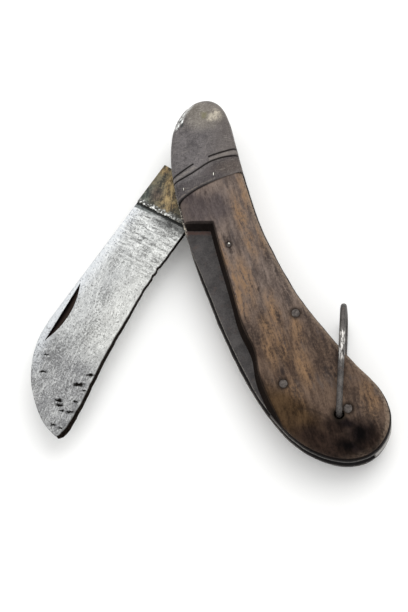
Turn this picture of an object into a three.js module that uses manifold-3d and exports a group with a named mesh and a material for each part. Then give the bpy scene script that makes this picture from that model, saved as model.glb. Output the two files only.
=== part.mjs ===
// Folding pocket knife: a pruner-shaped blade that folds into a banana-shaped wooden handle
// with iron liners, a backspring, iron bolsters, rivets and a wire bail.
// Millimetres. The knife lies flat: +X right, +Y towards the nose, +Z out of the front scale.
// The origin is the point REST_POINT of the handle, on the flat rear face of the rear bolster.
import * as THREE from "three";
import { mergeVertices } from "three/addons/utils/BufferGeometryUtils.js";
import Module from "manifold-3d";

const wasm = await Module();
wasm.setup();

// Layers, from the middle of the blade slot outwards.
const SLOT_WIDTH = 3.8;
const LINER_THICKNESS = 1.0;
const SCALE_THICKNESS = 4.4;
const LINER_INNER = SLOT_WIDTH / 2;
const LINER_OUTER = LINER_INNER + LINER_THICKNESS;
const FACE = LINER_OUTER + SCALE_THICKNESS;
const REST_POINT = [-18.0, 62.0];

// Outline of the steel parts of the handle, from the nose round the back and the mouth.
const NOSE_TOP = [-17.4, 72.8];
const BACK_EDGE = [
  [-14.4, 72.0], [-11.8, 69.2], [-9.9, 65.2], [-7.9, 58.2], [-5.9, 51.1], [-2.6, 40.3],
  [1.2, 29.7], [6.3, 19.3], [12.1, 9.0], [18.1, 0.8], [27.9, -11.0], [36.6, -20.2],
  [39.8, -26.6], [40.1, -32.6], [36.9, -39.0], [32.2, -41.9], [27.2, -42.7],
];
const MOUTH_EDGE = [
  [20.6, -41.4], [13.4, -37.6], [7.3, -31.8], [2.1, -25.1], [-3.3, -16.4], [-8.0, -7.2],
  [-11.8, 0.9], [-15.1, 9.0], [-18.6, 17.6], [-21.6, 26.3], [-24.3, 35.6], [-26.6, 44.6],
  [-27.7, 53.0], [-27.3, 61.2], [-25.2, 67.2], [-21.7, 71.4],
];
const STEPS_PER_POINT = 4;
const BLADE_STEPS_PER_POINT = 10;

// Joint between the bolsters and the scales, as a curve across the handle.
const JOINT_CURVE = [[-27.4, 32.6], [-21.6, 43.2], [-1.6, 48.2]];
const JOINT_GAP = 0.1;

// How far wood and bolsters stand inside the steel edge, and how their outer edges are rounded.
const WOOD_INSET = 0.5;
const WOOD_ROUND_ACROSS = 3.0;
const WOOD_ROUND_DOWN = 2.6;
const BOLSTER_INSET = 0.15;
const BOLSTER_ROUND_ACROSS = 1.5;
const BOLSTER_ROUND_DOWN = 1.4;
const ROUND_STEPS = 4;

// Easy-open cut in the front scale, given at its face. Its walls lean in towards the liner.
const CUT_CURVE = [
  [-13.4, 30.6], [-10.8, 21.6], [-6.9, 9.2], [-3.6, -1.8], [0.4, -10.2], [2.6, -19.6], [9.8, -34.8],
];
const CUT_LEAN = [1.2, 1.4];

// The front liner's mouth edge is filed back along the cut, so a thumb reaches the nail nick.
const LINER_FILED = [
  [-24.6, 33.0], [-20.6, 22.6], [-16.6, 14.4], [-12.6, 6.9], [-9.2, -1.1], [-5.4, -9.1],
  [-1.6, -17.6], [2.6, -25.4], [8.2, -33.6],
];

// Two decorative grooves across each bolster. They stop short of the pivot head.
const UPPER_GROOVE = [[-30.0, 40.6], [-20.5, 52.0], [-3.0, 56.2]];
const LOWER_GROOVE = [[-30.0, 39.0], [-19.5, 49.6], [-3.0, 53.6]];
const GROOVE_WIDTH = 0.55;
const GROOVE_DEPTH = 0.35;
const GROOVE_STOP = 0.5;

// Pivot pin: a shank through the tang with a peened head flush in each bolster.
const PIVOT = [-18.0, 51.0];
const PIVOT_RADIUS = 1.7;
const PIVOT_HEAD_RADIUS = 2.5;
const PIVOT_HEAD_DEPTH = 1.6;
const RUNNING_CLEARANCE = 0.05;
const FIXED_CLEARANCE = 0.02;

// Blade, in its own frame: pivot at the origin, +X towards the tip, +Y towards the edge.
const BLADE_THICKNESS = 2.4;
const BLADE_EDGE_THICKNESS = 1.7;
const TANG_PLATE_THICKNESS = 0.6;
const TANG_LENGTH = 19.0;
const TANG_RADIUS = 5.3;
const SHOULDER_X = 5.5;
const SPINE_Y = -10.7;
const SPINE_LENGTH = 66.0;
const POINT_CURVE = [[72.6, -9.9], [79.4, -7.5], [85.4, -3.6], [90.4, 2.0], [93.7, 7.8]];
const TIP = [94.9, 13.6];
const BELLY = [
  [86.2, 14.3], [78.1, 13.1], [70.1, 11.5], [61.9, 10.3], [53.4, 9.3], [45.0, 8.2], [36.0, 7.7],
];
const HEEL = [19.6, 7.6];
const HEEL_ROUND = 2.2;
const NICK_CHORD = [[51.5, -9.8], [72.2, -7.9]];
const NICK_BULGE = [61.5, -4.9];
const NICK_DEPTH = 0.6;

// Blade directions in the handle's frame, in degrees from +X.
const BLADE_SHOWN = -122.9;
const BLADE_CLOSED = -70.9;

// Backspring: its inner edge in the closed blade's frame, from the nose to the butt.
const SPRING_CLEARANCE = 0.15;
const NOSE_CLEARANCE = 0.25;
const SPRING_INNER = [
  [15.6, 7.1], [18.6, 8.1], [36.0, 8.3], [45.0, 8.9], [54.0, 10.0], [62.0, 11.0], [70.0, 12.3],
  [78.0, 14.0], [86.0, 15.1], [92.5, 15.4], [98.0, 17.6], [106.0, 22.6],
];
const SPRING_FLAT_END = 13.0;

// Rivets and pins: place in the handle's frame and shank radius.
const SPRING_PIN = { at: [12.2, 1.2], radius: 1.25 };
const BUTT_RIVET = { at: [27.9, -28.0], radius: 1.4 };
const UPPER_SCALE_PIN = { at: [-8.4, 23.0], radius: 0.8 };
const LOWER_SCALE_PIN = { at: [9.1, -20.6], radius: 1.25 };
const LEFT_BOLSTER_PIN = { at: [-22.7, 41.4], radius: 0.6 };
const RIGHT_BOLSTER_PIN = { at: [-13.9, 46.4], radius: 0.6 };

// Bail: one wire bent round the handle, its two ends turned into holes near the butt.
const BAIL_HOLE = [25.4, -29.7];
const BAIL_WIRE_RADIUS = 1.0;
const BAIL_LENGTH = 34.0;
const BAIL_SIDE_GAP = 0.7;
const BAIL_BEND_RADIUS = 6.0;
const BAIL_FOOT_RADIUS = 1.6;
const BAIL_HOLE_MOUTH_RADIUS = 1.7;
const BAIL_HOLE_MOUTH_DEPTH = 2.4;
const BAIL_SHOWN = 88.5;

const ROUND_SEGMENTS = 28;
const PAST = 1.0;
const FAR = 60.0;

function finish(color, metalness, roughness) {
  return new THREE.MeshStandardMaterial({ color, metalness, roughness });
}

const bladeSteel = finish(0xbfc2c2, 0.9, 0.45);
const tangBrass = finish(0x8a7a50, 0.8, 0.5);
const linerIron = finish(0x4c4947, 0.8, 0.6);
const springSteel = finish(0x85827d, 0.85, 0.5);
const bolsterIron = finish(0x6c6360, 0.8, 0.55);
const scaleWood = finish(0x5c4638, 0.0, 0.55);
const rivetIron = finish(0x8c8782, 0.85, 0.5);
const bailWire = finish(0x59544f, 0.85, 0.5);

// Solids

function solidOf(geometry) {
  geometry.deleteAttribute("normal");
  geometry.deleteAttribute("uv");
  const merged = mergeVertices(geometry, 1e-5);
  const mesh = new wasm.Mesh({
    numProp: 3,
    vertProperties: new Float32Array(merged.attributes.position.array),
    triVerts: new Uint32Array(merged.index.array),
  });
  return new wasm.Manifold(mesh);
}

function prism(shape, bottom, top, curveSegments = STEPS_PER_POINT) {
  const geometry = new THREE.ExtrudeGeometry(shape, {
    depth: top - bottom,
    bevelEnabled: false,
    curveSegments,
  });
  return solidOf(geometry.translate(0, 0, bottom));
}

function cylinder(at, radius, bottom, top) {
  const round = new THREE.CylinderGeometry(radius, radius, top - bottom, ROUND_SEGMENTS);
  round.rotateX(Math.PI / 2);
  return solidOf(round.translate(at[0], at[1], (bottom + top) / 2));
}

function mirrored(body) {
  return body.mirror([0, 0, 1]);
}

function piece(name, body, material) {
  const data = body.getMesh();
  const geometry = new THREE.BufferGeometry();
  geometry.setAttribute("position", new THREE.BufferAttribute(new Float32Array(data.vertProperties), 3));
  geometry.setIndex(new THREE.BufferAttribute(new Uint32Array(data.triVerts), 1));
  geometry.computeVertexNormals();
  const mesh = new THREE.Mesh(geometry, material);
  mesh.name = name;
  return mesh;
}

// Outlines

function vectors(points) {
  return points.map(([x, y]) => new THREE.Vector2(x, y));
}

function handleOutline() {
  const shape = new THREE.Shape();
  shape.moveTo(...NOSE_TOP);
  shape.splineThru(vectors(BACK_EDGE));
  shape.splineThru(vectors([...MOUTH_EDGE, NOSE_TOP]));
  return shape;
}

function besideCurve(points, offset) {
  const [start, middle, end] = vectors(points);
  const curve = new THREE.QuadraticBezierCurve(start, middle, end);
  const count = ROUND_SEGMENTS;
  return Array.from({ length: count + 1 }, (_, i) => {
    const tangent = curve.getTangent(i / count);
    return curve.getPoint(i / count).add(new THREE.Vector2(-tangent.y, tangent.x).multiplyScalar(offset));
  });
}

// The side of the joint curve that holds the butt, grown by an offset towards the nose.
function buttSide(offset) {
  const joint = besideCurve(JOINT_CURVE, offset);
  const corners = vectors([[FAR, 48 + FAR / 4], [FAR, -FAR], [-FAR, -FAR], [-FAR, 0]]);
  return new THREE.Shape([...joint, ...corners]);
}

function grooveShape(points) {
  const half = GROOVE_WIDTH / 2;
  return new THREE.Shape([...besideCurve(points, -half), ...besideCurve(points, half).reverse()]);
}

// Everything on the mouth side of a curve that runs down the handle.
function mouthSide(curve) {
  const shape = new THREE.Shape();
  shape.moveTo(-FAR, curve[0][1]);
  shape.lineTo(...curve[0]);
  shape.splineThru(vectors(curve.slice(1)));
  shape.lineTo(-FAR, curve.at(-1)[1]);
  return shape;
}

function bladeOutline() {
  const shape = new THREE.Shape();
  shape.moveTo(SHOULDER_X, SPINE_Y);
  shape.lineTo(SPINE_LENGTH, SPINE_Y);
  shape.splineThru(vectors([...POINT_CURVE, TIP]));
  shape.splineThru(vectors([...BELLY, HEEL]));
  shape.quadraticCurveTo(HEEL[0] - HEEL_ROUND, HEEL[1], HEEL[0] - HEEL_ROUND, TANG_RADIUS);
  shape.lineTo(0, TANG_RADIUS);
  shape.absarc(0, 0, TANG_RADIUS, Math.PI / 2, (3 * Math.PI) / 2, false);
  shape.lineTo(SHOULDER_X, -TANG_RADIUS);
  return shape;
}

function nickOutline() {
  const shape = new THREE.Shape();
  shape.moveTo(...NICK_CHORD[0]);
  shape.quadraticCurveTo(...NICK_BULGE, ...NICK_CHORD[1]);
  return shape;
}

// Everything on the back side of the spring's inner edge, in the closed blade's frame.
function springSide() {
  const underside = TANG_RADIUS + SPRING_CLEARANCE;
  const noseEnd = -(SHOULDER_X - NOSE_CLEARANCE);
  const shape = new THREE.Shape();
  shape.moveTo(noseEnd, FAR);
  shape.lineTo(noseEnd, underside);
  shape.lineTo(SPRING_FLAT_END, underside);
  shape.splineThru(vectors(SPRING_INNER));
  shape.lineTo(2 * FAR, FAR);
  return shape;
}

// Handle halves, built in front of the slot's middle plane

function roundedPlate(inset, roundAcross, roundDown) {
  const straight = SCALE_THICKNESS - roundDown;
  const geometry = new THREE.ExtrudeGeometry(handleOutline(), {
    depth: 2 * straight,
    bevelEnabled: true,
    bevelThickness: roundDown,
    bevelSize: roundAcross,
    bevelOffset: -(roundAcross + inset),
    bevelSegments: ROUND_STEPS,
    curveSegments: STEPS_PER_POINT,
  });
  const plate = solidOf(geometry.translate(0, 0, LINER_OUTER - straight));
  return plate.trimByPlane([0, 0, 1], LINER_OUTER);
}

function pinHole(pin) {
  return cylinder(pin.at, pin.radius + FIXED_CLEARANCE, 0, FACE + PAST);
}

function bailHole() {
  const bore = cylinder(BAIL_HOLE, BAIL_WIRE_RADIUS + RUNNING_CLEARANCE, 0, FACE + PAST);
  const mouth = cylinder(BAIL_HOLE, BAIL_HOLE_MOUTH_RADIUS, FACE - BAIL_HOLE_MOUTH_DEPTH, FACE + PAST);
  return bore.add(mouth);
}

function easyOpenCut() {
  const [leanX, leanY] = CUT_LEAN.map((lean) => lean / SCALE_THICKNESS);
  const cut = prism(mouthSide(CUT_CURVE), 0, FACE + PAST);
  const slanted = new THREE.Matrix4().makeShear(0, 0, 0, 0, leanX, leanY);
  slanted.premultiply(new THREE.Matrix4().makeTranslation(-leanX * FACE, -leanY * FACE, 0));
  return cut.transform(slanted.elements);
}

function pivotProfile(clearance) {
  const shank = PIVOT_RADIUS + clearance;
  const head = PIVOT_HEAD_RADIUS + clearance;
  const neck = FACE - PIVOT_HEAD_DEPTH;
  return [[0, -FACE], [head, -FACE], [shank, -neck], [shank, neck], [head, FACE], [0, FACE]];
}

function pivotSolid(clearance) {
  const lathe = new THREE.LatheGeometry(vectors(pivotProfile(clearance)), ROUND_SEGMENTS);
  return solidOf(lathe.rotateX(Math.PI / 2).translate(...PIVOT, 0));
}

function liner() {
  return prism(handleOutline(), LINER_INNER, LINER_OUTER)
    .subtract(pivotSolid(FIXED_CLEARANCE))
    .subtract(pinHole(SPRING_PIN))
    .subtract(pinHole(BUTT_RIVET))
    .subtract(pinHole(UPPER_SCALE_PIN))
    .subtract(pinHole(LOWER_SCALE_PIN))
    .subtract(pinHole(LEFT_BOLSTER_PIN))
    .subtract(pinHole(RIGHT_BOLSTER_PIN))
    .subtract(bailHole());
}

function scale() {
  return roundedPlate(WOOD_INSET, WOOD_ROUND_ACROSS, WOOD_ROUND_DOWN)
    .intersect(prism(buttSide(-JOINT_GAP / 2), 0, FACE + PAST))
    .subtract(pinHole(SPRING_PIN))
    .subtract(pinHole(BUTT_RIVET))
    .subtract(pinHole(UPPER_SCALE_PIN))
    .subtract(pinHole(LOWER_SCALE_PIN))
    .subtract(bailHole());
}

function grooves() {
  const bottom = FACE - GROOVE_DEPTH;
  const boss = cylinder(PIVOT, PIVOT_HEAD_RADIUS + GROOVE_STOP, 0, FACE + PAST);
  return prism(grooveShape(UPPER_GROOVE), bottom, FACE + PAST)
    .add(prism(grooveShape(LOWER_GROOVE), bottom, FACE + PAST))
    .subtract(boss);
}

function bolster() {
  return roundedPlate(BOLSTER_INSET, BOLSTER_ROUND_ACROSS, BOLSTER_ROUND_DOWN)
    .subtract(prism(buttSide(JOINT_GAP / 2), 0, FACE + PAST))
    .subtract(grooves())
    .subtract(pivotSolid(FIXED_CLEARANCE))
    .subtract(pinHole(LEFT_BOLSTER_PIN))
    .subtract(pinHole(RIGHT_BOLSTER_PIN));
}

function shortPin(pin) {
  return cylinder(pin.at, pin.radius, LINER_INNER, FACE);
}

function throughPin(pin) {
  return cylinder(pin.at, pin.radius, -FACE, FACE);
}

// Blade and spring, built about the slot's middle plane

function bladeTaper() {
  const spine = BLADE_THICKNESS / 2;
  const edge = BLADE_EDGE_THICKNESS / 2;
  const top = SPINE_Y - PAST;
  const bottom = TIP[1] + PAST;
  const section = new THREE.Shape(vectors([[top, -spine], [bottom, -edge], [bottom, edge], [top, spine]]));
  const wedge = new THREE.ExtrudeGeometry(section, { depth: TIP[0], bevelEnabled: false });
  wedge.translate(0, 0, TANG_LENGTH);
  const axes = new THREE.Matrix4().makeBasis(
    new THREE.Vector3(0, 1, 0), new THREE.Vector3(0, 0, 1), new THREE.Vector3(1, 0, 0),
  );
  return solidOf(wedge.applyMatrix4(axes));
}

function tangZone() {
  const zone = new THREE.Shape(vectors([[-FAR, -FAR], [TANG_LENGTH, -FAR], [TANG_LENGTH, FAR], [-FAR, FAR]]));
  return prism(zone, -FACE, FACE);
}

function pivotBore() {
  return cylinder([0, 0], PIVOT_RADIUS + RUNNING_CLEARANCE, -FACE, FACE);
}

function blade() {
  const half = BLADE_THICKNESS / 2;
  const nick = prism(nickOutline(), half - NICK_DEPTH, half + PAST);
  return prism(bladeOutline(), -half, half, BLADE_STEPS_PER_POINT)
    .intersect(bladeTaper().add(tangZone()))
    .subtract(pivotBore())
    .subtract(nick);
}

function tangPlate() {
  const inner = BLADE_THICKNESS / 2;
  return prism(bladeOutline(), inner, inner + TANG_PLATE_THICKNESS, BLADE_STEPS_PER_POINT)
    .intersect(tangZone())
    .subtract(pivotBore());
}

function backspring() {
  const side = prism(springSide(), -LINER_INNER, LINER_INNER)
    .rotate([0, 0, BLADE_CLOSED])
    .translate([...PIVOT, 0]);
  return prism(handleOutline(), -LINER_INNER, LINER_INNER)
    .intersect(side)
    .subtract(cylinder(SPRING_PIN.at, SPRING_PIN.radius + FIXED_CLEARANCE, -FACE, FACE))
    .subtract(cylinder(BUTT_RIVET.at, BUTT_RIVET.radius + FIXED_CLEARANCE, -FACE, FACE));
}

// Bail: a foot in the hole, a leg, the crown, and the same back again on the other side.

function bailPath() {
  const side = FACE + BAIL_SIDE_GAP + BAIL_WIRE_RADIUS;
  const foot = LINER_INNER + RUNNING_CLEARANCE;
  const path = new THREE.CurvePath();
  const point = (x, z) => new THREE.Vector3(x, 0, z);
  const line = (from, to) => path.add(new THREE.LineCurve3(from, to));
  const bend = (from, corner, to) => path.add(new THREE.QuadraticBezierCurve3(from, corner, to));
  line(point(0, foot), point(0, side - BAIL_FOOT_RADIUS));
  bend(point(0, side - BAIL_FOOT_RADIUS), point(0, side), point(BAIL_FOOT_RADIUS, side));
  line(point(BAIL_FOOT_RADIUS, side), point(BAIL_LENGTH - BAIL_BEND_RADIUS, side));
  bend(
    point(BAIL_LENGTH - BAIL_BEND_RADIUS, side), point(BAIL_LENGTH, side),
    point(BAIL_LENGTH, side - BAIL_BEND_RADIUS),
  );
  line(point(BAIL_LENGTH, side - BAIL_BEND_RADIUS), point(BAIL_LENGTH, BAIL_BEND_RADIUS - side));
  bend(
    point(BAIL_LENGTH, BAIL_BEND_RADIUS - side), point(BAIL_LENGTH, -side),
    point(BAIL_LENGTH - BAIL_BEND_RADIUS, -side),
  );
  line(point(BAIL_LENGTH - BAIL_BEND_RADIUS, -side), point(BAIL_FOOT_RADIUS, -side));
  bend(point(BAIL_FOOT_RADIUS, -side), point(0, -side), point(0, BAIL_FOOT_RADIUS - side));
  line(point(0, BAIL_FOOT_RADIUS - side), point(0, -foot));
  return path;
}

function bail() {
  const section = new THREE.Shape().absarc(0, 0, BAIL_WIRE_RADIUS, 0, 2 * Math.PI, false);
  const wire = new THREE.ExtrudeGeometry(section, {
    steps: 90,
    extrudePath: bailPath(),
    curveSegments: 6,
    bevelEnabled: false,
  });
  return solidOf(wire);
}

// Assembly

const frontLiner = liner().subtract(prism(mouthSide(LINER_FILED), 0, FACE));
const frontScale = scale().subtract(easyOpenCut());

const handle = new THREE.Group();
handle.add(
  piece("front_liner", frontLiner, linerIron),
  piece("rear_liner", mirrored(liner()), linerIron),
  piece("backspring", backspring(), springSteel),
  piece("front_bolster", bolster(), bolsterIron),
  piece("rear_bolster", mirrored(bolster()), bolsterIron),
  piece("front_scale", frontScale, scaleWood),
  piece("rear_scale", mirrored(scale()), scaleWood),
  piece("pivot_pin", pivotSolid(0), rivetIron),
  piece("spring_pin", throughPin(SPRING_PIN), rivetIron),
  piece("butt_rivet", throughPin(BUTT_RIVET), rivetIron),
);

const shortPins = {
  upper_scale_pin: UPPER_SCALE_PIN,
  lower_scale_pin: LOWER_SCALE_PIN,
  left_bolster_pin: LEFT_BOLSTER_PIN,
  right_bolster_pin: RIGHT_BOLSTER_PIN,
};
for (const [name, pin] of Object.entries(shortPins)) {
  handle.add(piece(`${name}_front`, shortPin(pin), rivetIron));
  handle.add(piece(`${name}_rear`, mirrored(shortPin(pin)), rivetIron));
}

const bladeGroup = new THREE.Group();
bladeGroup.position.set(...PIVOT, 0);
bladeGroup.rotation.z = THREE.MathUtils.degToRad(BLADE_SHOWN);
bladeGroup.add(
  piece("blade", blade(), bladeSteel),
  piece("tang_plate_front", tangPlate(), tangBrass),
  piece("tang_plate_rear", mirrored(tangPlate()), tangBrass),
);

const bailGroup = new THREE.Group();
bailGroup.position.set(...BAIL_HOLE, 0);
bailGroup.rotation.z = THREE.MathUtils.degToRad(BAIL_SHOWN);
bailGroup.add(piece("bail", bail(), bailWire));

const knife = new THREE.Group();
knife.add(handle, bladeGroup, bailGroup);
knife.position.set(-REST_POINT[0], -REST_POINT[1], FACE);

export default knife;
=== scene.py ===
import math

import bpy
import numpy as np
from mathutils import Matrix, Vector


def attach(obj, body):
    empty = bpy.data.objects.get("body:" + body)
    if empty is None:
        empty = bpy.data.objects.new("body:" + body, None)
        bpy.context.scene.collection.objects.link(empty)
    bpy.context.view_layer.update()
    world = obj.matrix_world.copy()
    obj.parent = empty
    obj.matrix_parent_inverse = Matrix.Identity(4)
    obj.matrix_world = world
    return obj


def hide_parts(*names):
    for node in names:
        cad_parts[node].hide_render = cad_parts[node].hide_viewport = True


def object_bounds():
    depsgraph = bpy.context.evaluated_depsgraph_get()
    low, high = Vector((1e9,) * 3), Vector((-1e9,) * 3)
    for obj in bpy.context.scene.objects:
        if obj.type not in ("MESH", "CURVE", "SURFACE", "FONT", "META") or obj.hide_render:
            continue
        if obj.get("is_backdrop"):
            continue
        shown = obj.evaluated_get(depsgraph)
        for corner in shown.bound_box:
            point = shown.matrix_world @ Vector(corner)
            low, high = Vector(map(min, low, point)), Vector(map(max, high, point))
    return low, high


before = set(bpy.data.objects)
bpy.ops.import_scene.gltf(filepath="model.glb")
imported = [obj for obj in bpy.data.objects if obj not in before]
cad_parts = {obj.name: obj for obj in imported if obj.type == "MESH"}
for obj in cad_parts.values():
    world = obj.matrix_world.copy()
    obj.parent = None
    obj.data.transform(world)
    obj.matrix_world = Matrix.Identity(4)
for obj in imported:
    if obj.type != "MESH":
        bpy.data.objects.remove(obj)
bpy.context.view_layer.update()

# Liners.
# Two plates of dull iron sheet, cut to one outline, that line the slot and carry everything else.
# The front one is filed back along its mouth edge, so that a thumb reaches the closed blade.

REST_POINT = (-18.0, 62.0)
LINER_INNER = 1.9
LINER_OUTER = 2.9
FACE = 7.3
HANDLE_EDGE = [
    (-17.4, 72.8), (-14.4, 72.0), (-11.8, 69.2), (-9.9, 65.2), (-7.9, 58.2), (-5.9, 51.1),
    (-2.6, 40.3), (1.2, 29.7), (6.3, 19.3), (12.1, 9.0), (18.1, 0.8), (27.9, -11.0),
    (36.6, -20.2), (39.8, -26.6), (40.1, -32.6), (36.9, -39.0), (32.2, -41.9), (27.2, -42.7),
    (20.6, -41.4), (13.4, -37.6), (7.3, -31.8), (2.1, -25.1), (-3.3, -16.4), (-8.0, -7.2),
    (-11.8, 0.9), (-15.1, 9.0), (-18.6, 17.6), (-21.6, 26.3), (-24.3, 35.6), (-26.6, 44.6),
    (-27.7, 53.0), (-27.3, 61.2), (-25.2, 67.2), (-21.7, 71.4),
]
HANDLE_MIDDLE = [
    (-18.4, 63.5), (-17.6, 54.0), (-15.2, 43.0), (-11.0, 31.5), (-5.6, 19.5), (0.2, 7.5),
    (6.4, -3.0), (13.2, -13.4), (20.4, -22.5), (26.8, -29.4),
]
LINER_FILED = [
    (-19.9, 22.0), (-17.4, 16.2), (-15.0, 10.7), (-13.4, 6.9), (-10.7, 0.5), (-7.9, -5.8),
    (-4.8, -12.0), (-1.5, -18.2), (1.7, -23.7), (5.6, -29.0),
]
LINER_BURR = 0.12
LINER_FILING = (9.0, 0.07)
OUTLINE_WAVES = 26
OUTLINE_STEPS = 1200


def evenly(line, count, closed=False):
    """The line of points again, in `count` equal steps of its running length."""
    line = np.vstack([line, line[:1]]) if closed else np.asarray(line, float)
    run = np.concatenate([[0.0], np.cumsum(np.linalg.norm(np.diff(line, axis=0), axis=1))])
    steps = np.linspace(0.0, run[-1], count, endpoint=not closed)
    return np.stack([np.interp(steps, run, line[:, k]) for k in range(line.shape[1])], axis=1)


def through(points, closed=False, steps=24):
    """Catmull-Rom curve: between two points a cubic whose slopes are half the step past them."""
    p = np.asarray(points, float)
    if closed:
        before, here, after, beyond = (np.roll(p, k, axis=0) for k in (1, 0, -1, -2))
    else:
        p = np.vstack([p[:1], p, p[-1:]])
        before, here, after, beyond = p[:-3], p[1:-2], p[2:-1], p[3:]
    t = np.linspace(0.0, 1.0, steps, endpoint=False)[:, None, None]
    curve = 0.5 * (
        2 * here + (after - before) * t
        + (2 * before - 5 * here + 4 * after - beyond) * t**2
        + (3 * here - before - 3 * after + beyond) * t**3
    )
    curve = curve.transpose(1, 0, 2).reshape(-1, p.shape[1])
    return curve if closed else np.vstack([curve, p[-2:-1]])


def without_kinks(loop, waves):
    """A closed line with only its longest waves kept, by a Fourier sum of x + iy."""
    tones = np.fft.fft(loop[:, 0] + 1j * loop[:, 1])
    tones[waves + 1:-waves] = 0
    even = np.fft.ifft(tones)
    return np.stack([even.real, even.imag], axis=1)


def trimmed(edge, keep, curve):
    """A closed edge whose stretch outside `keep` gives way to the curve that cuts it off."""
    start = np.flatnonzero(keep & ~np.roll(keep, 1))[0]
    kept = np.roll(edge, -start, axis=0)[:keep.sum()]
    leave, meet = (np.argmin(np.linalg.norm(curve - end, axis=1)) for end in (kept[-1], kept[0]))
    step = 1 if meet > leave else -1
    return np.vstack([kept, curve[leave + step:meet:step]])


def beyond(edge, curve):
    """Where an edge point lies right of a curve that runs down the handle, or past its ends."""
    x, y = edge.T
    across = np.interp(y, curve[::-1, 1], curve[::-1, 0])
    return (x > across) | (y > curve[0, 1]) | (y < curve[-1, 1])


def partners(edge, middle, rim=np.empty((0, 2))):
    """The edge points again, and the point that each one walks to.

    The way goes up the middle line, round the rim of a hole if there is one, and down again. An
    edge point takes the nearest place on it, never one behind the last. Places passed over get
    columns of their own, so that the two sides of a piece meet point to point.
    """
    goals = np.vstack([middle, rim])
    way = np.vstack([goals, middle[::-1]])
    near = np.argmin(np.linalg.norm(edge[:, None] - goals[None], axis=2), axis=1)
    start = np.flatnonzero(near == 0)[0]
    edge, near = np.roll(edge, -start, axis=0), np.roll(near, -start)
    last_at_end = np.flatnonzero(near >= len(middle) - 1)[-1]
    coming_back = np.arange(len(near)) > last_at_end
    place = np.maximum.accumulate(np.where(coming_back, len(way) - 1 - near, near))
    parts = np.maximum(np.diff(place, append=len(way) - 1), 1)
    column = np.repeat(np.arange(len(near)), parts)
    inner = np.arange(len(column)) - np.repeat(np.cumsum(parts) - parts, parts)
    step = np.roll(edge, -1, axis=0) - edge
    return edge[column] + (inner / parts[column])[:, None] * step[column], way[place[column] + inner]


def walked(edge, goal, distance):
    """Every edge point moved a distance towards its middle point, and no further than that."""
    way = goal - edge
    return edge + way * np.minimum(distance / np.linalg.norm(way, axis=1, keepdims=True), 1.0)


def at_height(points, height):
    """Plane points lifted to a height, one number or one for each point."""
    z = np.broadcast_to(np.asarray(height, float), points.shape[:-1])
    return np.concatenate([points, z[..., None]], axis=-1)


def ripple(points, size, amount, seed):
    """Smooth unevenness up to about the amount: the mean of sine waves in several directions."""
    rng = np.random.default_rng(seed)
    angle, phase = rng.uniform(0, 2 * np.pi, (2, 9))
    length = size * rng.uniform(0.5, 1.8, 9)
    along = (points[..., :1] * np.cos(angle) + points[..., 1:2] * np.sin(angle)) / length
    return amount * (np.sin(2 * np.pi * along + phase).mean(axis=-1) * 2.0)


def hand_filed(edge, size, amount, seed):
    """An edge line with the small unevenness of filing."""
    return edge + np.stack([ripple(edge, size, amount, seed + k) for k in (0, 1)], axis=-1)


def added(name, data):
    """A new object in the scene."""
    made = bpy.data.objects.new(name, data)
    bpy.context.scene.collection.objects.link(made)
    return made


def shell(name, grid, marks=None, crease=38.0):
    """A closed mesh on grid[row, column], in mm from the middle of the blade slot.

    The last column meets the first. Points at one place become one, faces with no area and
    faces met twice go, and the rest point outwards. `marks` are values for a material to read.
    """
    rows, columns = grid.shape[:2]
    points = (grid.reshape(-1, 3) + (-REST_POINT[0], -REST_POINT[1], FACE)) / 1000.0
    _, first, same = np.unique(np.round(points, 7), axis=0, return_index=True, return_inverse=True)
    index = same.reshape(rows, columns)
    a, b = index[:-1], index[1:]
    quads = np.stack([a, b, np.roll(b, -1, axis=1), np.roll(a, -1, axis=1)], axis=-1).reshape(-1, 4)
    faces = np.vstack([quads[:, [0, 1, 2]], quads[:, [0, 2, 3]]])
    p, q, r = faces.T
    faces = faces[(p != q) & (q != r) & (r != p)]
    _, twin, count = np.unique(np.sort(faces, axis=1), axis=0, return_inverse=True, return_counts=True)
    faces = faces[count[twin.ravel()] == 1]
    corners = points[first]
    p, q, r = (corners[k] for k in faces.T)
    if np.einsum("ij,ij", p, np.cross(q, r)) < 0:
        faces = faces[:, ::-1]
    mesh = bpy.data.meshes.new(name)
    mesh.vertices.add(len(corners))
    mesh.vertices.foreach_set("co", corners.ravel())
    mesh.loops.add(faces.size)
    mesh.loops.foreach_set("vertex_index", np.ascontiguousarray(faces).ravel())
    mesh.polygons.add(len(faces))
    mesh.polygons.foreach_set("loop_start", np.arange(0, faces.size, 3))
    mesh.polygons.foreach_set("use_smooth", np.ones(len(faces), bool))
    mesh.update(calc_edges=True)
    mesh.set_sharp_from_angle(angle=math.radians(crease))
    for mark, values in (marks or {}).items():
        values = np.broadcast_to(values, (rows, columns)).ravel()[first]
        mesh.attributes.new(mark, "FLOAT", "POINT").data.foreach_set("value", values.astype(np.float32))
    return added(name, mesh)


def fitted(piece, material, slot, body, *nodes):
    """Gives a piece its finish, its body and the nodes that it stands for."""
    piece.data.materials.append(material)
    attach(piece, body)
    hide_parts(*nodes)


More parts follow.
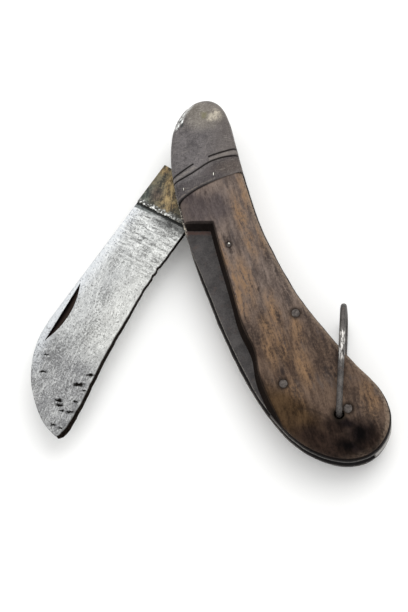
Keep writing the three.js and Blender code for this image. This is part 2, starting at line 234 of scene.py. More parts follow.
class Wire:
    """One output in a material's nodes. Sums, products and the like of wires add Math nodes."""

    def __init__(self, tree, output=None):
        self.tree, self.output = tree, output

    def node(self, kind, settings=None, sockets=None, output=0):
        """Adds a node: its settings first, then its sockets, each a wire or a value."""
        made = self.tree.nodes.new(kind)
        for key, value in (settings or {}).items():
            setattr(made, key, value)
        for key, value in (sockets or {}).items():
            if isinstance(value, Wire):
                self.tree.links.new(value.output, made.inputs[key])
            else:
                made.inputs[key].default_value = value
        return Wire(self.tree, made.outputs[output])

    def math(self, operation, *others):
        """One Math node on this wire and the others."""
        return self.node("ShaderNodeMath", {"operation": operation}, dict(enumerate((self, *others))))

    def __add__(self, other):
        return self.math("ADD", other)

    def __sub__(self, other):
        return self.math("SUBTRACT", other)

    def __mul__(self, other):
        return self.math("MULTIPLY", other)

    def __or__(self, other):
        return self.math("MAXIMUM", other)

    def __rsub__(self, other):
        return (self * -1.0) + other

    __radd__ = __add__
    __rmul__ = __mul__

    def within(self, start, end):
        """0 before the start and 1 past the end, with a smooth rise between."""
        return self.node(
            "ShaderNodeMapRange", {"interpolation_type": "SMOOTHSTEP"},
            {"Value": self, "From Min": start, "From Max": end},
        )

    def tint(self, colour, other):
        """From one colour to another as this wire goes from 0 to 1."""
        colour, other = (c if isinstance(c, Wire) else (*c, 1.0) for c in (colour, other))
        return self.node(
            "ShaderNodeMix", {"data_type": "RGBA", "clamp_factor": True},
            {0: self, 6: colour, 7: other}, output=2,
        )

    def grain(self, size, detail=4.0, roughness=0.55, warp=0.0):
        """Noise from 0 to 1 whose lumps measure about `size` in this place's units."""
        return self.node(
            "ShaderNodeTexNoise", None,
            {"Vector": self, "Scale": 1.0 / size, "Detail": detail, "Roughness": roughness,
             "Distortion": warp},
        )

    def turned(self, centre, degrees, stretch=(1.0, 1.0, 1.0)):
        """This place seen from a centre, along an axis turned by the angle, in stretched units."""
        return self.node(
            "ShaderNodeMapping", {"vector_type": "TEXTURE"},
            {"Vector": self, "Location": centre, "Rotation": (0.0, 0.0, math.radians(degrees)),
             "Scale": stretch},
        )

    def drawn(self, degrees, stretch=1.0):
        """This place along a turned axis, drawn out along it as grain and scratches are."""
        return self.turned((0.0, 0.0, 0.0), degrees, (stretch, 1.0, 1.0))

    def spot(self, x, y, along, across, degrees=0.0, soft=0.5):
        """1 on an oval round (x, y), through the whole thickness, fading out round its rim."""
        oval = self.turned((x, y, 0.0), degrees, (along, across, 1000.0))
        size = self.node("ShaderNodeVectorMath", {"operation": "LENGTH"}, {0: oval}, output=1)
        return size.within(1.0 + soft, 1.0 - soft)

    def spots(self, places, degrees=0.0, soft=0.5):
        """The strongest of several spots, each (x, y, along, across)."""
        total = self.spot(*places[0], degrees, soft)
        for place in places[1:]:
            total = total | self.spot(*place, degrees, soft)
        return total

    def swayed(self, size, amount):
        """This place pushed about by noise, so that edges drawn on it turn ragged."""
        push = self.node(
            "ShaderNodeTexNoise", None, {"Vector": self, "Scale": 1.0 / size, "Detail": 3.0}, output=1,
        )
        centred = self.node(
            "ShaderNodeVectorMath", {"operation": "SUBTRACT"}, {0: push, 1: (0.5, 0.5, 0.5)},
        )
        scaled = self.node(
            "ShaderNodeVectorMath", {"operation": "SCALE"}, {0: centred, "Scale": 2.0 * amount},
        )
        return self.node("ShaderNodeVectorMath", {"operation": "ADD"}, {0: self, 1: scaled})

    def part(self, axis):
        """One coordinate of this place."""
        return self.node("ShaderNodeSeparateXYZ", None, {0: self}, output=axis)

    def mark(self, name):
        """A value that the mesh carries."""
        return self.node("ShaderNodeAttribute", {"attribute_name": name}, None, output=2)


def finish(name):
    """A new material, the place on the handle's own plane in mm, and its shader."""
    material = bpy.data.materials.new(name)
    material.use_nodes = True
    tree = material.node_tree
    at_object = Wire(tree).node("ShaderNodeTexCoord", output=3)
    place = at_object.node(
        "ShaderNodeMapping", {"vector_type": "POINT"},
        {"Vector": at_object, "Location": (*REST_POINT, -FACE), "Scale": (1000.0, 1000.0, 1000.0)},
    )
    return material, place, tree.nodes["Principled BSDF"]


def coat(shader, colour, roughness, metallic, height=None, depth=0.0):
    """Feeds a shader its colour, roughness and metallic, and the bump from a height in mm."""
    tree = shader.id_data
    for socket, value in (("Base Color", colour), ("Roughness", roughness), ("Metallic", metallic)):
        if isinstance(value, Wire):
            tree.links.new(value.output, shader.inputs[socket])
        else:
            shader.inputs[socket].default_value = value
    if height is not None:
        bump = height.node("ShaderNodeBump", None, {"Height": height, "Distance": depth / 1000.0})
        tree.links.new(bump.output, shader.inputs["Normal"])


def liner_finish():
    """Dull iron: near black, with red rust in patches, a bright line along the edge that is partly rubbed
    bare and partly a painted highlight, and painted shade along the back, towards the butt and on the faces
    inside the slot.
    """
    material, place, shader = finish("liner_iron")
    blotch = place.grain(4.0, 6.0, 0.6)
    fine = place.grain(0.4, 5.0, 0.65)
    rust = place.drawn(20.0).grain(3.0, 6.0, 0.7).within(0.54, 0.72)
    # The bright line along the rim is partly rubbed bare iron and partly a painted highlight of the lit
    # edge.
    rubbed = place.mark("rim").within(0.3, 0.05) * place.grain(0.6, 5.0, 0.7).within(0.36, 0.56)
    flecks = place.mark("rim").within(0.9, 0.4) * place.grain(0.55, 4.0, 0.7).within(0.5, 0.57)
    flecks = flecks * place.part(1).within(27.0, 30.0) * place.part(1).within(46.0, 42.0)
    under_wall = place.swayed(1.0, 0.8).spot(-18.4, 28.6, 6.0, 0.6, 0.0, 0.7)
    tone = (blotch * 0.55 + fine * 0.45).within(0.36, 0.66)
    colour = tone.tint((0.03, 0.027, 0.027), (0.08, 0.073, 0.071))
    colour = (rust * 0.7).tint(colour, (0.082, 0.058, 0.05))
    colour = (under_wall * 0.6).tint(colour, (0.10, 0.05, 0.038))
    colour = rubbed.tint(colour, (0.15, 0.135, 0.118))
    colour = flecks.tint(colour, (0.6, 0.54, 0.45))
    # Painted shade: the edge along the back, the iron towards the butt and the faces inside the slot are
    # darkened near black where shadow falls.
    on_back = place.drawn(-60.0).part(1).within(2.0, 6.0) * place.mark("rim").within(0.7, 0.4)
    by_butt = place.part(0).within(8.0, 20.0) * place.part(1).within(-16.0, -22.0) | on_back
    inside_slot_shade = place.part(2).math("ABSOLUTE").within(2.2, 1.95) * place.mark("rim").within(0.2, 0.5)
    colour = (by_butt * 0.8 | inside_slot_shade * 0.9).tint(colour, (0.009, 0.008, 0.008))
    coat(shader, colour, 0.66 - rubbed * 0.2 + fine * 0.1, 0.5, blotch * 0.5 + fine * 0.5, 0.14)
    return material


edge_line = evenly(without_kinks(evenly(through(HANDLE_EDGE, True), 1024, True), OUTLINE_WAVES), 3000, True)
middle_line = evenly(through(HANDLE_MIDDLE), 90)
liner_iron = liner_finish()


def plate(name, edge, middle, low, high, burr, steps=OUTLINE_STEPS):
    """A flat plate: rings of its edge at two heights, burrs rounded, walked in to its middle."""
    edge, goal = partners(evenly(edge, steps, True), middle)
    far = 1000.0
    inner = [0.3, 0.55, 0.9, 1.4, 2.1, 3.0, 4.2, 5.6, 7.2, 9.0]
    wall = [(1.0, low), (abs(burr), low), (0.0, low + burr), (0.0, high - burr), (abs(burr), high)]
    levels = [(far, low), *wall, *((distance, high) for distance in (*inner, far))]
    grid = np.stack([at_height(walked(edge, goal, distance), height) for distance, height in levels])
    rim = np.array([[distance] for distance, _ in levels]) * np.ones(len(edge))
    return shell(name, grid, {"rim": rim})


def liner(name, edge, side, seed):
    """One liner, its outer face towards the scale."""
    edge = hand_filed(evenly(edge, OUTLINE_STEPS, True), *LINER_FILING, seed)
    piece = plate(name, edge, middle_line, side * LINER_INNER, side * LINER_OUTER, side * LINER_BURR)
    fitted(piece, liner_iron, "liner_iron", "handle", name)


filed_line = evenly(through(LINER_FILED), 1500)
liner("front_liner", trimmed(edge_line, beyond(edge_line, filed_line), filed_line), 1, 3)
liner("rear_liner", edge_line, -1, 5)

# Backspring.
# One bar of spring steel between the liners, along the back of the handle and round its butt.
# Two rivets hold it, its nose bears on the tang, and its outer side shows, scratched bright.

PIVOT = (-18.0, 51.0)
BLADE_CLOSED = -70.9
SPRING_NOSE = (-5.25, 5.45)
SPRING_FLAT_END = 13.0
SPRING_INNER = [
    (15.6, 7.1), (18.6, 8.1), (36.0, 8.3), (45.0, 8.9), (54.0, 10.0), (62.0, 11.0), (70.0, 12.3),
    (78.0, 14.0), (86.0, 15.1), (92.5, 15.4), (98.0, 17.6), (106.0, 22.6),
]
SPRING_MIDDLE = [
    (-10.9, 57.0), (-8.6, 49.0), (-4.4, 39.5), (0.2, 28.5), (4.6, 19.0), (9.6, 8.5), (15.6, -1.6),
    (22.6, -12.0), (29.5, -21.0), (33.2, -29.0), (34.4, -36.0),
]
SPRING_BURR = 0.2
SPRING_FILING = (8.0, 0.05)
PAST_THE_EDGE = 40.0


def swung(points, degrees, at):
    """Points of a swinging part's own plane, turned and carried to the handle; z stays."""
    c, s = math.cos(math.radians(degrees)), math.sin(math.radians(degrees))
    x, y = points[..., 0], points[..., 1]
    flat = np.stack([c * x - s * y + at[0], s * x + c * y + at[1]], axis=-1)
    return np.concatenate([flat, points[..., 2:]], axis=-1)


def spring_finish():
    """Spring steel: grey-brown, drawn with scratches round the butt, bright where it rubs."""
    material, place, shader = finish("spring_steel")
    cloud = place.grain(3.0, 5.0, 0.6)
    scratch = place.drawn(-58.0, 14.0).grain(0.25, 4.0, 0.65)
    bright = scratch.within(0.56, 0.72) * cloud.within(0.35, 0.6)
    tone = (cloud * 0.5 + scratch * 0.5).within(0.3, 0.7)
    colour = tone.tint((0.016, 0.014, 0.013), (0.06, 0.052, 0.046))
    by_butt = place.part(0).within(32.0, 37.0) * place.part(1).within(-12.0, -18.0)
    colour = (by_butt * 0.75).tint(colour, tone.tint((0.16, 0.15, 0.14), (0.44, 0.42, 0.39)))
    colour = bright.tint(colour, (0.34, 0.31, 0.28))
    coat(shader, colour, 0.5 - bright * 0.15, 0.7, scratch, 0.08)
    return material


nose_x, nose_y = SPRING_NOSE
spring_inner = np.vstack([SPRING_NOSE, (SPRING_FLAT_END, nose_y), through(SPRING_INNER)])
spring_line = evenly(np.vstack([(nose_x, PAST_THE_EDGE), spring_inner]), 4000)
edge_x, edge_y = swung(edge_line - PIVOT, -BLADE_CLOSED, (0.0, 0.0)).T
on_back = (edge_x > nose_x) & (edge_y > np.interp(edge_x, *spring_inner.T))
spring_edge = trimmed(edge_line, on_back, swung(spring_line, BLADE_CLOSED, PIVOT))
backspring = plate(
    "backspring", hand_filed(spring_edge, *SPRING_FILING, 7), evenly(through(SPRING_MIDDLE), 110),
    -LINER_INNER, LINER_INNER, SPRING_BURR,
)
fitted(backspring, spring_finish(), "spring_steel", "handle", "backspring")

# Bolsters.
# Two cheeks of forged iron over the nose end of the liners, rounded by filing and by wear, and
# each held by two small pins. Of the two cuts across each one, the lower runs over the pivot's head.

BOLSTER_MIDDLE = [(-18.5, 64.4), (-18.2, 58.0), (-17.9, 52.0), (-17.7, 46.6)]
BOLSTER_INSET = 0.15
BOLSTER_ROUND = (1.5, 1.4)
NOSE_ROUND = (4.5, 3.4)
NOSE_REACH = (60.0, 72.0)
JOINT_CURVE = [(-27.4, 32.6), (-21.6, 43.2), (-1.6, 48.2)]
JOINT_GAP = 0.025
JOINT_WEAR = (0.45, 0.3)
JOINT_WEAR_FADE = ((-20.0, -8.0), (1.0, 0.08))
UPPER_GROOVE = [
    (-29.0, 43.0), (-25.9, 45.4), (-20.4, 49.7), (-15.9, 52.1), (-12.0, 53.6), (-7.6, 54.8), (-4.0, 55.6),
]
LOWER_GROOVE = [
    (-29.0, 40.8), (-25.6, 43.4), (-20.3, 46.9), (-16.0, 50.0), (-13.3, 51.3), (-9.9, 52.2), (-4.0, 52.7),
]
RIB = [
    (-29.0, 41.9), (-25.4, 44.5), (-20.4, 48.2), (-15.9, 51.0), (-12.2, 52.5), (-8.6, 53.4), (-4.0, 54.2),
]
GROOVE_WIDTH = 0.7
GROOVE_DEPTH = 0.4
GROOVE_STOP = 2.4
FAR_OFF = 9.0
RIM_DENTS = [(-22.6, 69.9, 0.9), (-24.9, 66.0, 1.2), (-26.8, 62.6, 0.9), (-25.9, 64.4, 0.6)]
DENT_DEPTH = 0.32
DENT_UNEVEN = (0.8, 0.5)
BOLSTER_WAVE = (9.0, 0.03)
RUBBED_NOSE = [(-17.0, 66.6, 6.6, 4.6), (-20.4, 68.6, 4.0, 3.0)]
BARE_NOSE = [(-14.3, 66.1, 1.7, 1.3), (-15.4, 65.1, 1.1, 0.7), (-14.0, 67.4, 0.9, 0.8)]
NOSE_STAIN = (-17.7, 66.3, 0.9, 1.2)
RIM_GLARE = [(-22.9, 68.4, 3.0, 0.7), (-25.4, 63.6, 3.2, 0.6)]
RIM_CHIPS = [
    (-25.0, 65.2, 0.9, 0.3), (-24.3, 64.2, 0.8, 0.25), (-25.6, 62.4, 1.2, 0.3), (-24.0, 66.8, 0.7, 0.25),
]
RIM_PITS = [(-24.9, 64.6, 0.8, 0.35), (-24.3, 63.0, 0.9, 0.3)]
LOWER_BAND = [(-21.0, 41.5, 7.5, 2.6), (-11.5, 48.4, 8.5, 2.8)]
BROWN_JOINT = (-7.6, 49.2, 6.0, 2.2)


def arc_between(points, count):
    """Quadratic curve from the first point to the last, drawn towards the middle one."""
    start, bend, end = np.asarray(points, float)
    t = np.linspace(0.0, 1.0, count)[:, None]
    return (1 - t) ** 2 * start + 2 * t * (1 - t) * bend + t**2 * end


def unit(vectors):
    """The directions of vectors, each with the length 1."""
    return vectors / np.linalg.norm(vectors, axis=-1, keepdims=True)


def moved_in(loop, distance):
    """A closed line moved inwards along its normals."""
    along = np.roll(loop, -1, axis=0) - np.roll(loop, 1, axis=0)
    normal = unit(np.stack([along[:, 1], -along[:, 0]], axis=1))
    turn = np.sum(loop[:, 0] * along[:, 1] - loop[:, 1] * along[:, 0])
    return loop - np.sign(turn) * distance * normal


def away(points, line):
    """How far each point lies from a line: the nearer of the two straight steps at its nearest point."""
    step = np.diff(line, axis=0)
    length = (step**2).sum(axis=1)
    found = []
    for part in np.array_split(points.reshape(-1, 2), 40):
        square = (part**2).sum(axis=1)[:, None] - 2 * part @ line.T + (line**2).sum(axis=1)
        near = np.argmin(square, axis=1)
        best = np.full(len(part), np.inf)
        for piece in (np.clip(near - 1, 0, len(step) - 1), np.clip(near, 0, len(step) - 1)):
            offset = part - line[piece]
            share = np.clip((offset * step[piece]).sum(axis=1) / length[piece], 0.0, 1.0)
            best = np.minimum(best, np.linalg.norm(offset - share[:, None] * step[piece], axis=1))
        found.append(best)
    return np.concatenate(found).reshape(points.shape[:-1])


def rounded(distance, across, down):
    """How far a face drops near its edge, by a quarter of an ellipse."""
    return down * (1 - np.sqrt(1 - np.clip(1 - distance / across, 0.0, 1.0) ** 2))


def cheek(edge, goal, height, side, rings=64, foot=None, well=()):
    """A cheek that lies on a liner: flat below, a wall, and a face lifted by a height function.

    The face's rings go from the edge to the middle, dense near the edge. `foot` is where the wall
    meets the liner, and `well` gives rings past the middle, each a plane shift and a height.
    """
    foot = edge if foot is None else foot
    shares = np.linspace(0.0, 1.0, rings)[:, None, None] ** 1.4
    face = edge[None] + shares * (goal - edge)[None]
    lifted = height(face)
    up = np.linspace(0.0, 1.0, 6)[:-1, None, None]
    wall = foot[None] + up * (edge - foot)[None]
    wall_height = LINER_OUTER + up[..., 0] * (lifted[0] - LINER_OUTER)
    flat = at_height(goal, LINER_OUTER)[None]
    grid = np.concatenate([flat, at_height(wall, wall_height), at_height(face, lifted), *well])
    grid[..., 2] *= side
    on_wall = np.zeros(len(grid))
    on_wall[:len(wall) + 1] = 1.0
    return grid, on_wall[:, None]


def bolster_finish():
    """Worn iron: grey-brown, mottled and finely scratched, black in the cuts and the joint for dirt and
    painted shade, bare at the rim, with a painted reflection on the upper left rim and painted highlights
    on the rib and the joint's lip.
    """
    material, place, shader = finish("bolster_iron")
    swayed = place.swayed(1.6, 0.9)
    blotch = place.grain(5.0, 6.0, 0.62)
    mottle = place.grain(0.9, 6.0, 0.75)
    speck = place.grain(0.35, 4.0, 0.7)
    down = place.drawn(80.0, 9.0).grain(0.28, 4.0, 0.65)
    level = place.drawn(8.0, 7.0).grain(0.3, 4.0, 0.65)
    tone = (blotch * 0.3 + mottle * 0.4 + speck * 0.3).within(0.38, 0.62)
    colour = tone.tint((0.05, 0.044, 0.045), (0.15, 0.136, 0.136))
    by_nose = swayed.spots(RUBBED_NOSE, 20.0, 0.5)
    colour = (by_nose * 0.75).tint(colour, tone.tint((0.12, 0.104, 0.086), (0.26, 0.235, 0.2)))
    brown_side = place.swayed(5.0, 3.0).part(0).within(-20.0, -9.0)
    colour = (brown_side * 0.5).tint(colour, (0.10, 0.082, 0.07))
    lower_band = swayed.spots(LOWER_BAND, 32.0, 0.3)
    colour = (lower_band * 0.85).tint(colour, tone.tint((0.023, 0.019, 0.02), (0.074, 0.062, 0.062)))
    by_joint = swayed.spot(*BROWN_JOINT, 12.0, 0.6)
    colour = (by_joint * 0.7).tint(colour, tone.tint((0.046, 0.034, 0.028), (0.105, 0.08, 0.066)))
    scratches = (down | level).within(0.58, 0.68)
    colour = (scratches * (0.25 + by_nose * 0.4)).tint(colour, (0.42, 0.39, 0.34))
    bare = swayed.spots(BARE_NOSE, 0.0, 0.8)
    colour = (bare * mottle.within(0.3, 0.62) * 0.9).tint(colour, (0.5, 0.45, 0.36))
    stain = swayed.spot(*NOSE_STAIN, 0.0, 0.8)
    colour = (stain * 0.5).tint(colour, (0.16, 0.148, 0.06))
    # Painted reflection: the upper left rim is painted pale where it mirrors the bright room.
    rim_glare = place.swayed(2.0, 0.6).spots(RIM_GLARE, 58.0, 0.7)
    colour = (rim_glare * mottle.within(0.3, 0.55) * 0.75).tint(colour, (0.6, 0.6, 0.58))
    chips = place.swayed(0.8, 0.5).spots(RIM_CHIPS, 70.0, 0.3)
    chips = chips * place.grain(0.5, 4.0, 0.6).within(0.44, 0.5)
    pits = place.swayed(0.8, 0.4).spots(RIM_PITS, 70.0, 0.4)
    colour = (pits * 0.9).tint(colour, (0.02, 0.026, 0.024))
    colour = chips.tint(colour, (0.8, 0.82, 0.8))
    rubbed = place.mark("rim").within(0.8, 0.15) * mottle.within(0.44, 0.62)
    colour = (rubbed * 0.4).tint(colour, (0.3, 0.28, 0.26))
    # The rib between the cuts is lighter, partly rubbed bright and partly a painted highlight on its lit
    # crest.
    rib = place.mark("rib").within(0.6, 0.3) * (0.35 + level.within(0.5, 0.62) * 0.65)
    colour = (rib * 0.6).tint(colour, (0.27, 0.24, 0.21))
    fading = place.part(0).within(-7.0, -20.0)
    joint = place.mark("joint")
    # The cuts and the joint are darkened near black: dirt in them, and painted shade on the shadowed side
    # of the rib.
    grime_and_shade = place.mark("groove").within(0.4, 0.12) | joint.within(0.6, 0.1) * fading
    colour = (grime_and_shade * 0.9).tint(colour, (0.014, 0.011, 0.01))
    # Painted highlight: a pale tan line on the lit lip above the joint, fading towards the back.
    lip = joint.within(0.5, 0.62) * joint.within(1.0, 0.8) * mottle.within(0.4, 0.55)
    colour = (lip * fading * 0.5).tint(colour, (0.2, 0.165, 0.13))
    roughness = 0.52 + mottle * 0.16 - (chips | bare) * 0.1 + grime_and_shade * 0.2
    height = mottle * 0.45 + scratches * -0.1 + speck * 0.25 + blotch * 0.2
    coat(shader, colour, roughness, 0.45, height, 0.18)
    return material


joint_line = arc_between(JOINT_CURVE, 1500)
joint_thin = joint_line[::12]
upper_groove, lower_groove, rib_line = (
    through(points, steps=20) for points in (UPPER_GROOVE, LOWER_GROOVE, RIB)
)
closed_edge = np.vstack([edge_line[::3], edge_line[:1]])


def above_joint(points, gap):
    """Where points lie on the nose's side of the joint curve, at least the gap away from it."""
    return points[..., 1] > np.interp(points[..., 0], *joint_line.T) + gap


def cut_depth(points):
    """How deep the two cuts go, as cosine troughs; the upper one stops short of the pivot's head."""
    past_head = np.clip(np.linalg.norm(points - PIVOT, axis=-1) - GROOVE_STOP, 0.0, 0.4) / 0.4
    near_upper, near_lower = (
        np.clip(away(points, line) / (GROOVE_WIDTH / 2), 0.0, 1.0) for line in (upper_groove, lower_groove)
    )
    troughs = past_head * (1 + np.cos(np.pi * near_upper)) + 1 + np.cos(np.pi * near_lower)
    return GROOVE_DEPTH / 2 * troughs


def joint_wear(points, across, down):
    """How far a rim is worn down along the joint: most at the mouth, least at the back."""
    share = np.interp(points[..., 0], *JOINT_WEAR_FADE)
    return rounded(away(points, joint_thin), across, down * share)


def bolster_height(points):
    """The face, less its rim, rounder towards the nose, the cuts, dents in the rim, and wear."""
    rim = away(points, closed_edge) - BOLSTER_INSET
    nose = np.interp(points[..., 1], NOSE_REACH, (0.0, 1.0)) ** 1.5
    across, down = (side + nose * (end - side) for side, end in zip(BOLSTER_ROUND, NOSE_ROUND))
    height = FACE - rounded(rim, across, down) - joint_wear(points, *JOINT_WEAR) - cut_depth(points)
    for x, y, size in RIM_DENTS:
        reach = np.linalg.norm(points - (x, y), axis=-1) / size
        height = height - DENT_DEPTH * np.exp(-(reach**2)) * (1 + ripple(points, *DENT_UNEVEN, 11))
    return height + ripple(points, *BOLSTER_WAVE, 12) * np.clip(rim, 0.0, 1.0)


def bolster_marks(flat):
    """How far points lie from the rim, the cuts, the joint, and the rib between the cuts."""
    on_head = FAR_OFF * (np.linalg.norm(flat - PIVOT, axis=-1) < GROOVE_STOP)
    groove = np.minimum(away(flat, upper_groove) + on_head, away(flat, lower_groove))
    return {
        "rim": away(flat, closed_edge), "groove": groove, "joint": away(flat, joint_thin),
        "rib": away(flat, rib_line) + on_head,
    }


def bolster(name, side):
    """One bolster: the inset handle edge, cut off by the joint curve."""
    edge = moved_in(edge_line, BOLSTER_INSET)
    edge = trimmed(edge, above_joint(edge, JOINT_GAP), joint_line + (0.0, JOINT_GAP))
    edge, goal = partners(evenly(edge, 1000, True), evenly(through(BOLSTER_MIDDLE), 90))
    grid, _ = cheek(edge, goal, bolster_height, side, rings=90)
    piece = shell(name, grid, bolster_marks(grid[..., :2]))
    fitted(piece, bolster_iron, "bolster_iron", "handle", name)


bolster_iron = bolster_finish()
bolster("front_bolster", 1)
bolster("rear_bolster", -1)

# Scales.
# Two slabs of dark fruitwood, shaped round the hand and gone brown, grey and black with use.
# The front one has the easy-open cut, whose wall leans out to the liner and is painted near black, for dirt
# and for the shade that falls on it.

WOOD_INSET = 0.5
WOOD_ROUND = (3.0, 2.6)
WOOD_ARRIS = (0.4, 0.35)
CUT_CURVE = [
    (-13.4, 30.6), (-10.8, 21.6), (-6.9, 9.2), (-3.6, -1.8), (0.4, -10.2), (2.6, -19.6), (9.8, -34.8),
]
CUT_LEAN = (-1.2, -1.4)
CUT_LEAN_FADE = 1.8
FRONT_MIDDLE = [
    (-18.8, 36.0), (-14.0, 37.5), (-8.5, 34.5), (-5.6, 28.0), (-2.4, 19.5), (3.0, 7.5), (8.8, -3.0),
    (14.6, -13.4), (20.4, -22.3), (23.9, -27.7),
]
REAR_MIDDLE = [
    (-14.6, 37.5), (-11.0, 30.0), (-5.6, 19.5), (0.2, 7.5), (6.4, -3.0), (13.2, -13.4), (19.6, -22.0),
    (23.9, -27.7),
]
BAIL_HOLE = (25.4, -29.7)
BAIL_HOLE_RADIUS = 1.45
BAIL_HOLE_DEPTH = 2.4
GRAIN_ANGLE = -72.0
WOOD_PINS = {
    "spring_pin": ((12.2, 1.2), 1.25), "butt_rivet": ((27.9, -28.0), 1.4),
    "upper_scale_pin": ((-8.4, 23.0), 0.8), "lower_scale_pin": ((9.1, -20.6), 1.25),
}
PIN_SINK = 0.07
PIN_SINK_REACH = 1.4
DIRT_RING = 1.45
HOLE_LIP = (0.12, 0.25)
ORANGE_STREAKS = [
    (-3.1, 11.6, 6.5, 2.2), (-4.4, 5.3, 5.0, 1.6), (4.2, -4.2, 4.5, 1.8), (4.9, -10.4, 5.0, 1.5),
    (12.6, -25.6, 5.5, 2.0), (34.2, -25.4, 4.5, 2.0), (-4.0, 40.9, 6.0, 1.3), (-5.3, 32.6, 6.5, 1.5),
    (14.6, -15.0, 6.0, 1.8), (-2.4, 24.5, 6.0, 1.4), (8.6, -8.8, 5.5, 1.4), (-9.6, 19.4, 4.5, 0.9),
    (-6.2, 12.6, 4.5, 0.9), (5.4, 2.2, 5.0, 1.7), (12.8, -4.4, 4.0, 1.6), (0.8, 26.4, 5.0, 1.2),
]
DARK_STAINS = [
    (6.4, 14.8, 4.0, 1.2), (9.6, 7.4, 4.0, 1.5), (15.6, 0.4, 3.4, 1.4), (17.8, -8.2, 4.6, 2.0),
    (3.4, -2.6, 3.6, 0.9), (1.0, -6.8, 3.0, 1.2), (-1.3, -4.4, 3.4, 1.5), (8.6, -24.6, 4.0, 1.8),
    (13.4, -22.8, 3.0, 1.0), (21.2, -15.0, 5.0, 2.4), (5.2, -21.8, 3.6, 1.3), (-9.4, 24.6, 1.6, 1.3),
    (-7.6, 21.8, 1.2, 0.8), (24.6, -13.0, 6.0, 2.2), (3.2, 20.0, 5.0, 1.0), (8.0, -12.6, 4.0, 1.6),
    (7.6, -1.0, 3.0, 0.8), (32.4, -27.6, 5.0, 3.0), (21.6, -9.4, 4.0, 2.4), (35.4, -31.6, 4.0, 2.6),
]
KNOTS = [
    (8.7, -16.9, 1.3, 0.6), (1.0, 8.6, 0.7, 0.35), (21.1, -15.8, 0.9, 0.5), (22.9, -15.8, 0.7, 0.5),
    (24.1, -17.9, 0.8, 0.4),
]
BUTT_BLACKS = [(31.3, -35.4, 3.4, 3.4), (27.6, -32.4, 3.0, 1.8), (28.8, -39.2, 3.8, 1.8)]
LOW_SHADE = [
    (23.6, -38.6, 11.0, 5.2), (32.4, -36.8, 6.4, 5.0), (18.0, -36.4, 6.0, 3.4), (24.2, -33.6, 5.0, 2.8),
]
OLIVE_SIDE = (11.5, -30.2, 13.0, 5.4)
PURPLE_AREAS = [(-17.8, 34.2, 5.6, 5.6), (-12.6, 35.4, 5.0, 4.0), (-21.0, 38.0, 3.0, 2.5)]
CRACK = [(13.6, -28.2), (18.0, -28.6), (23.2, -31.9)]
CRACK_WIDTH = 0.35
CRACK_DEPTH = 0.10
WOOD_WAVES = [(12.0, 0.06, 21), (3.0, 0.025, 22)]


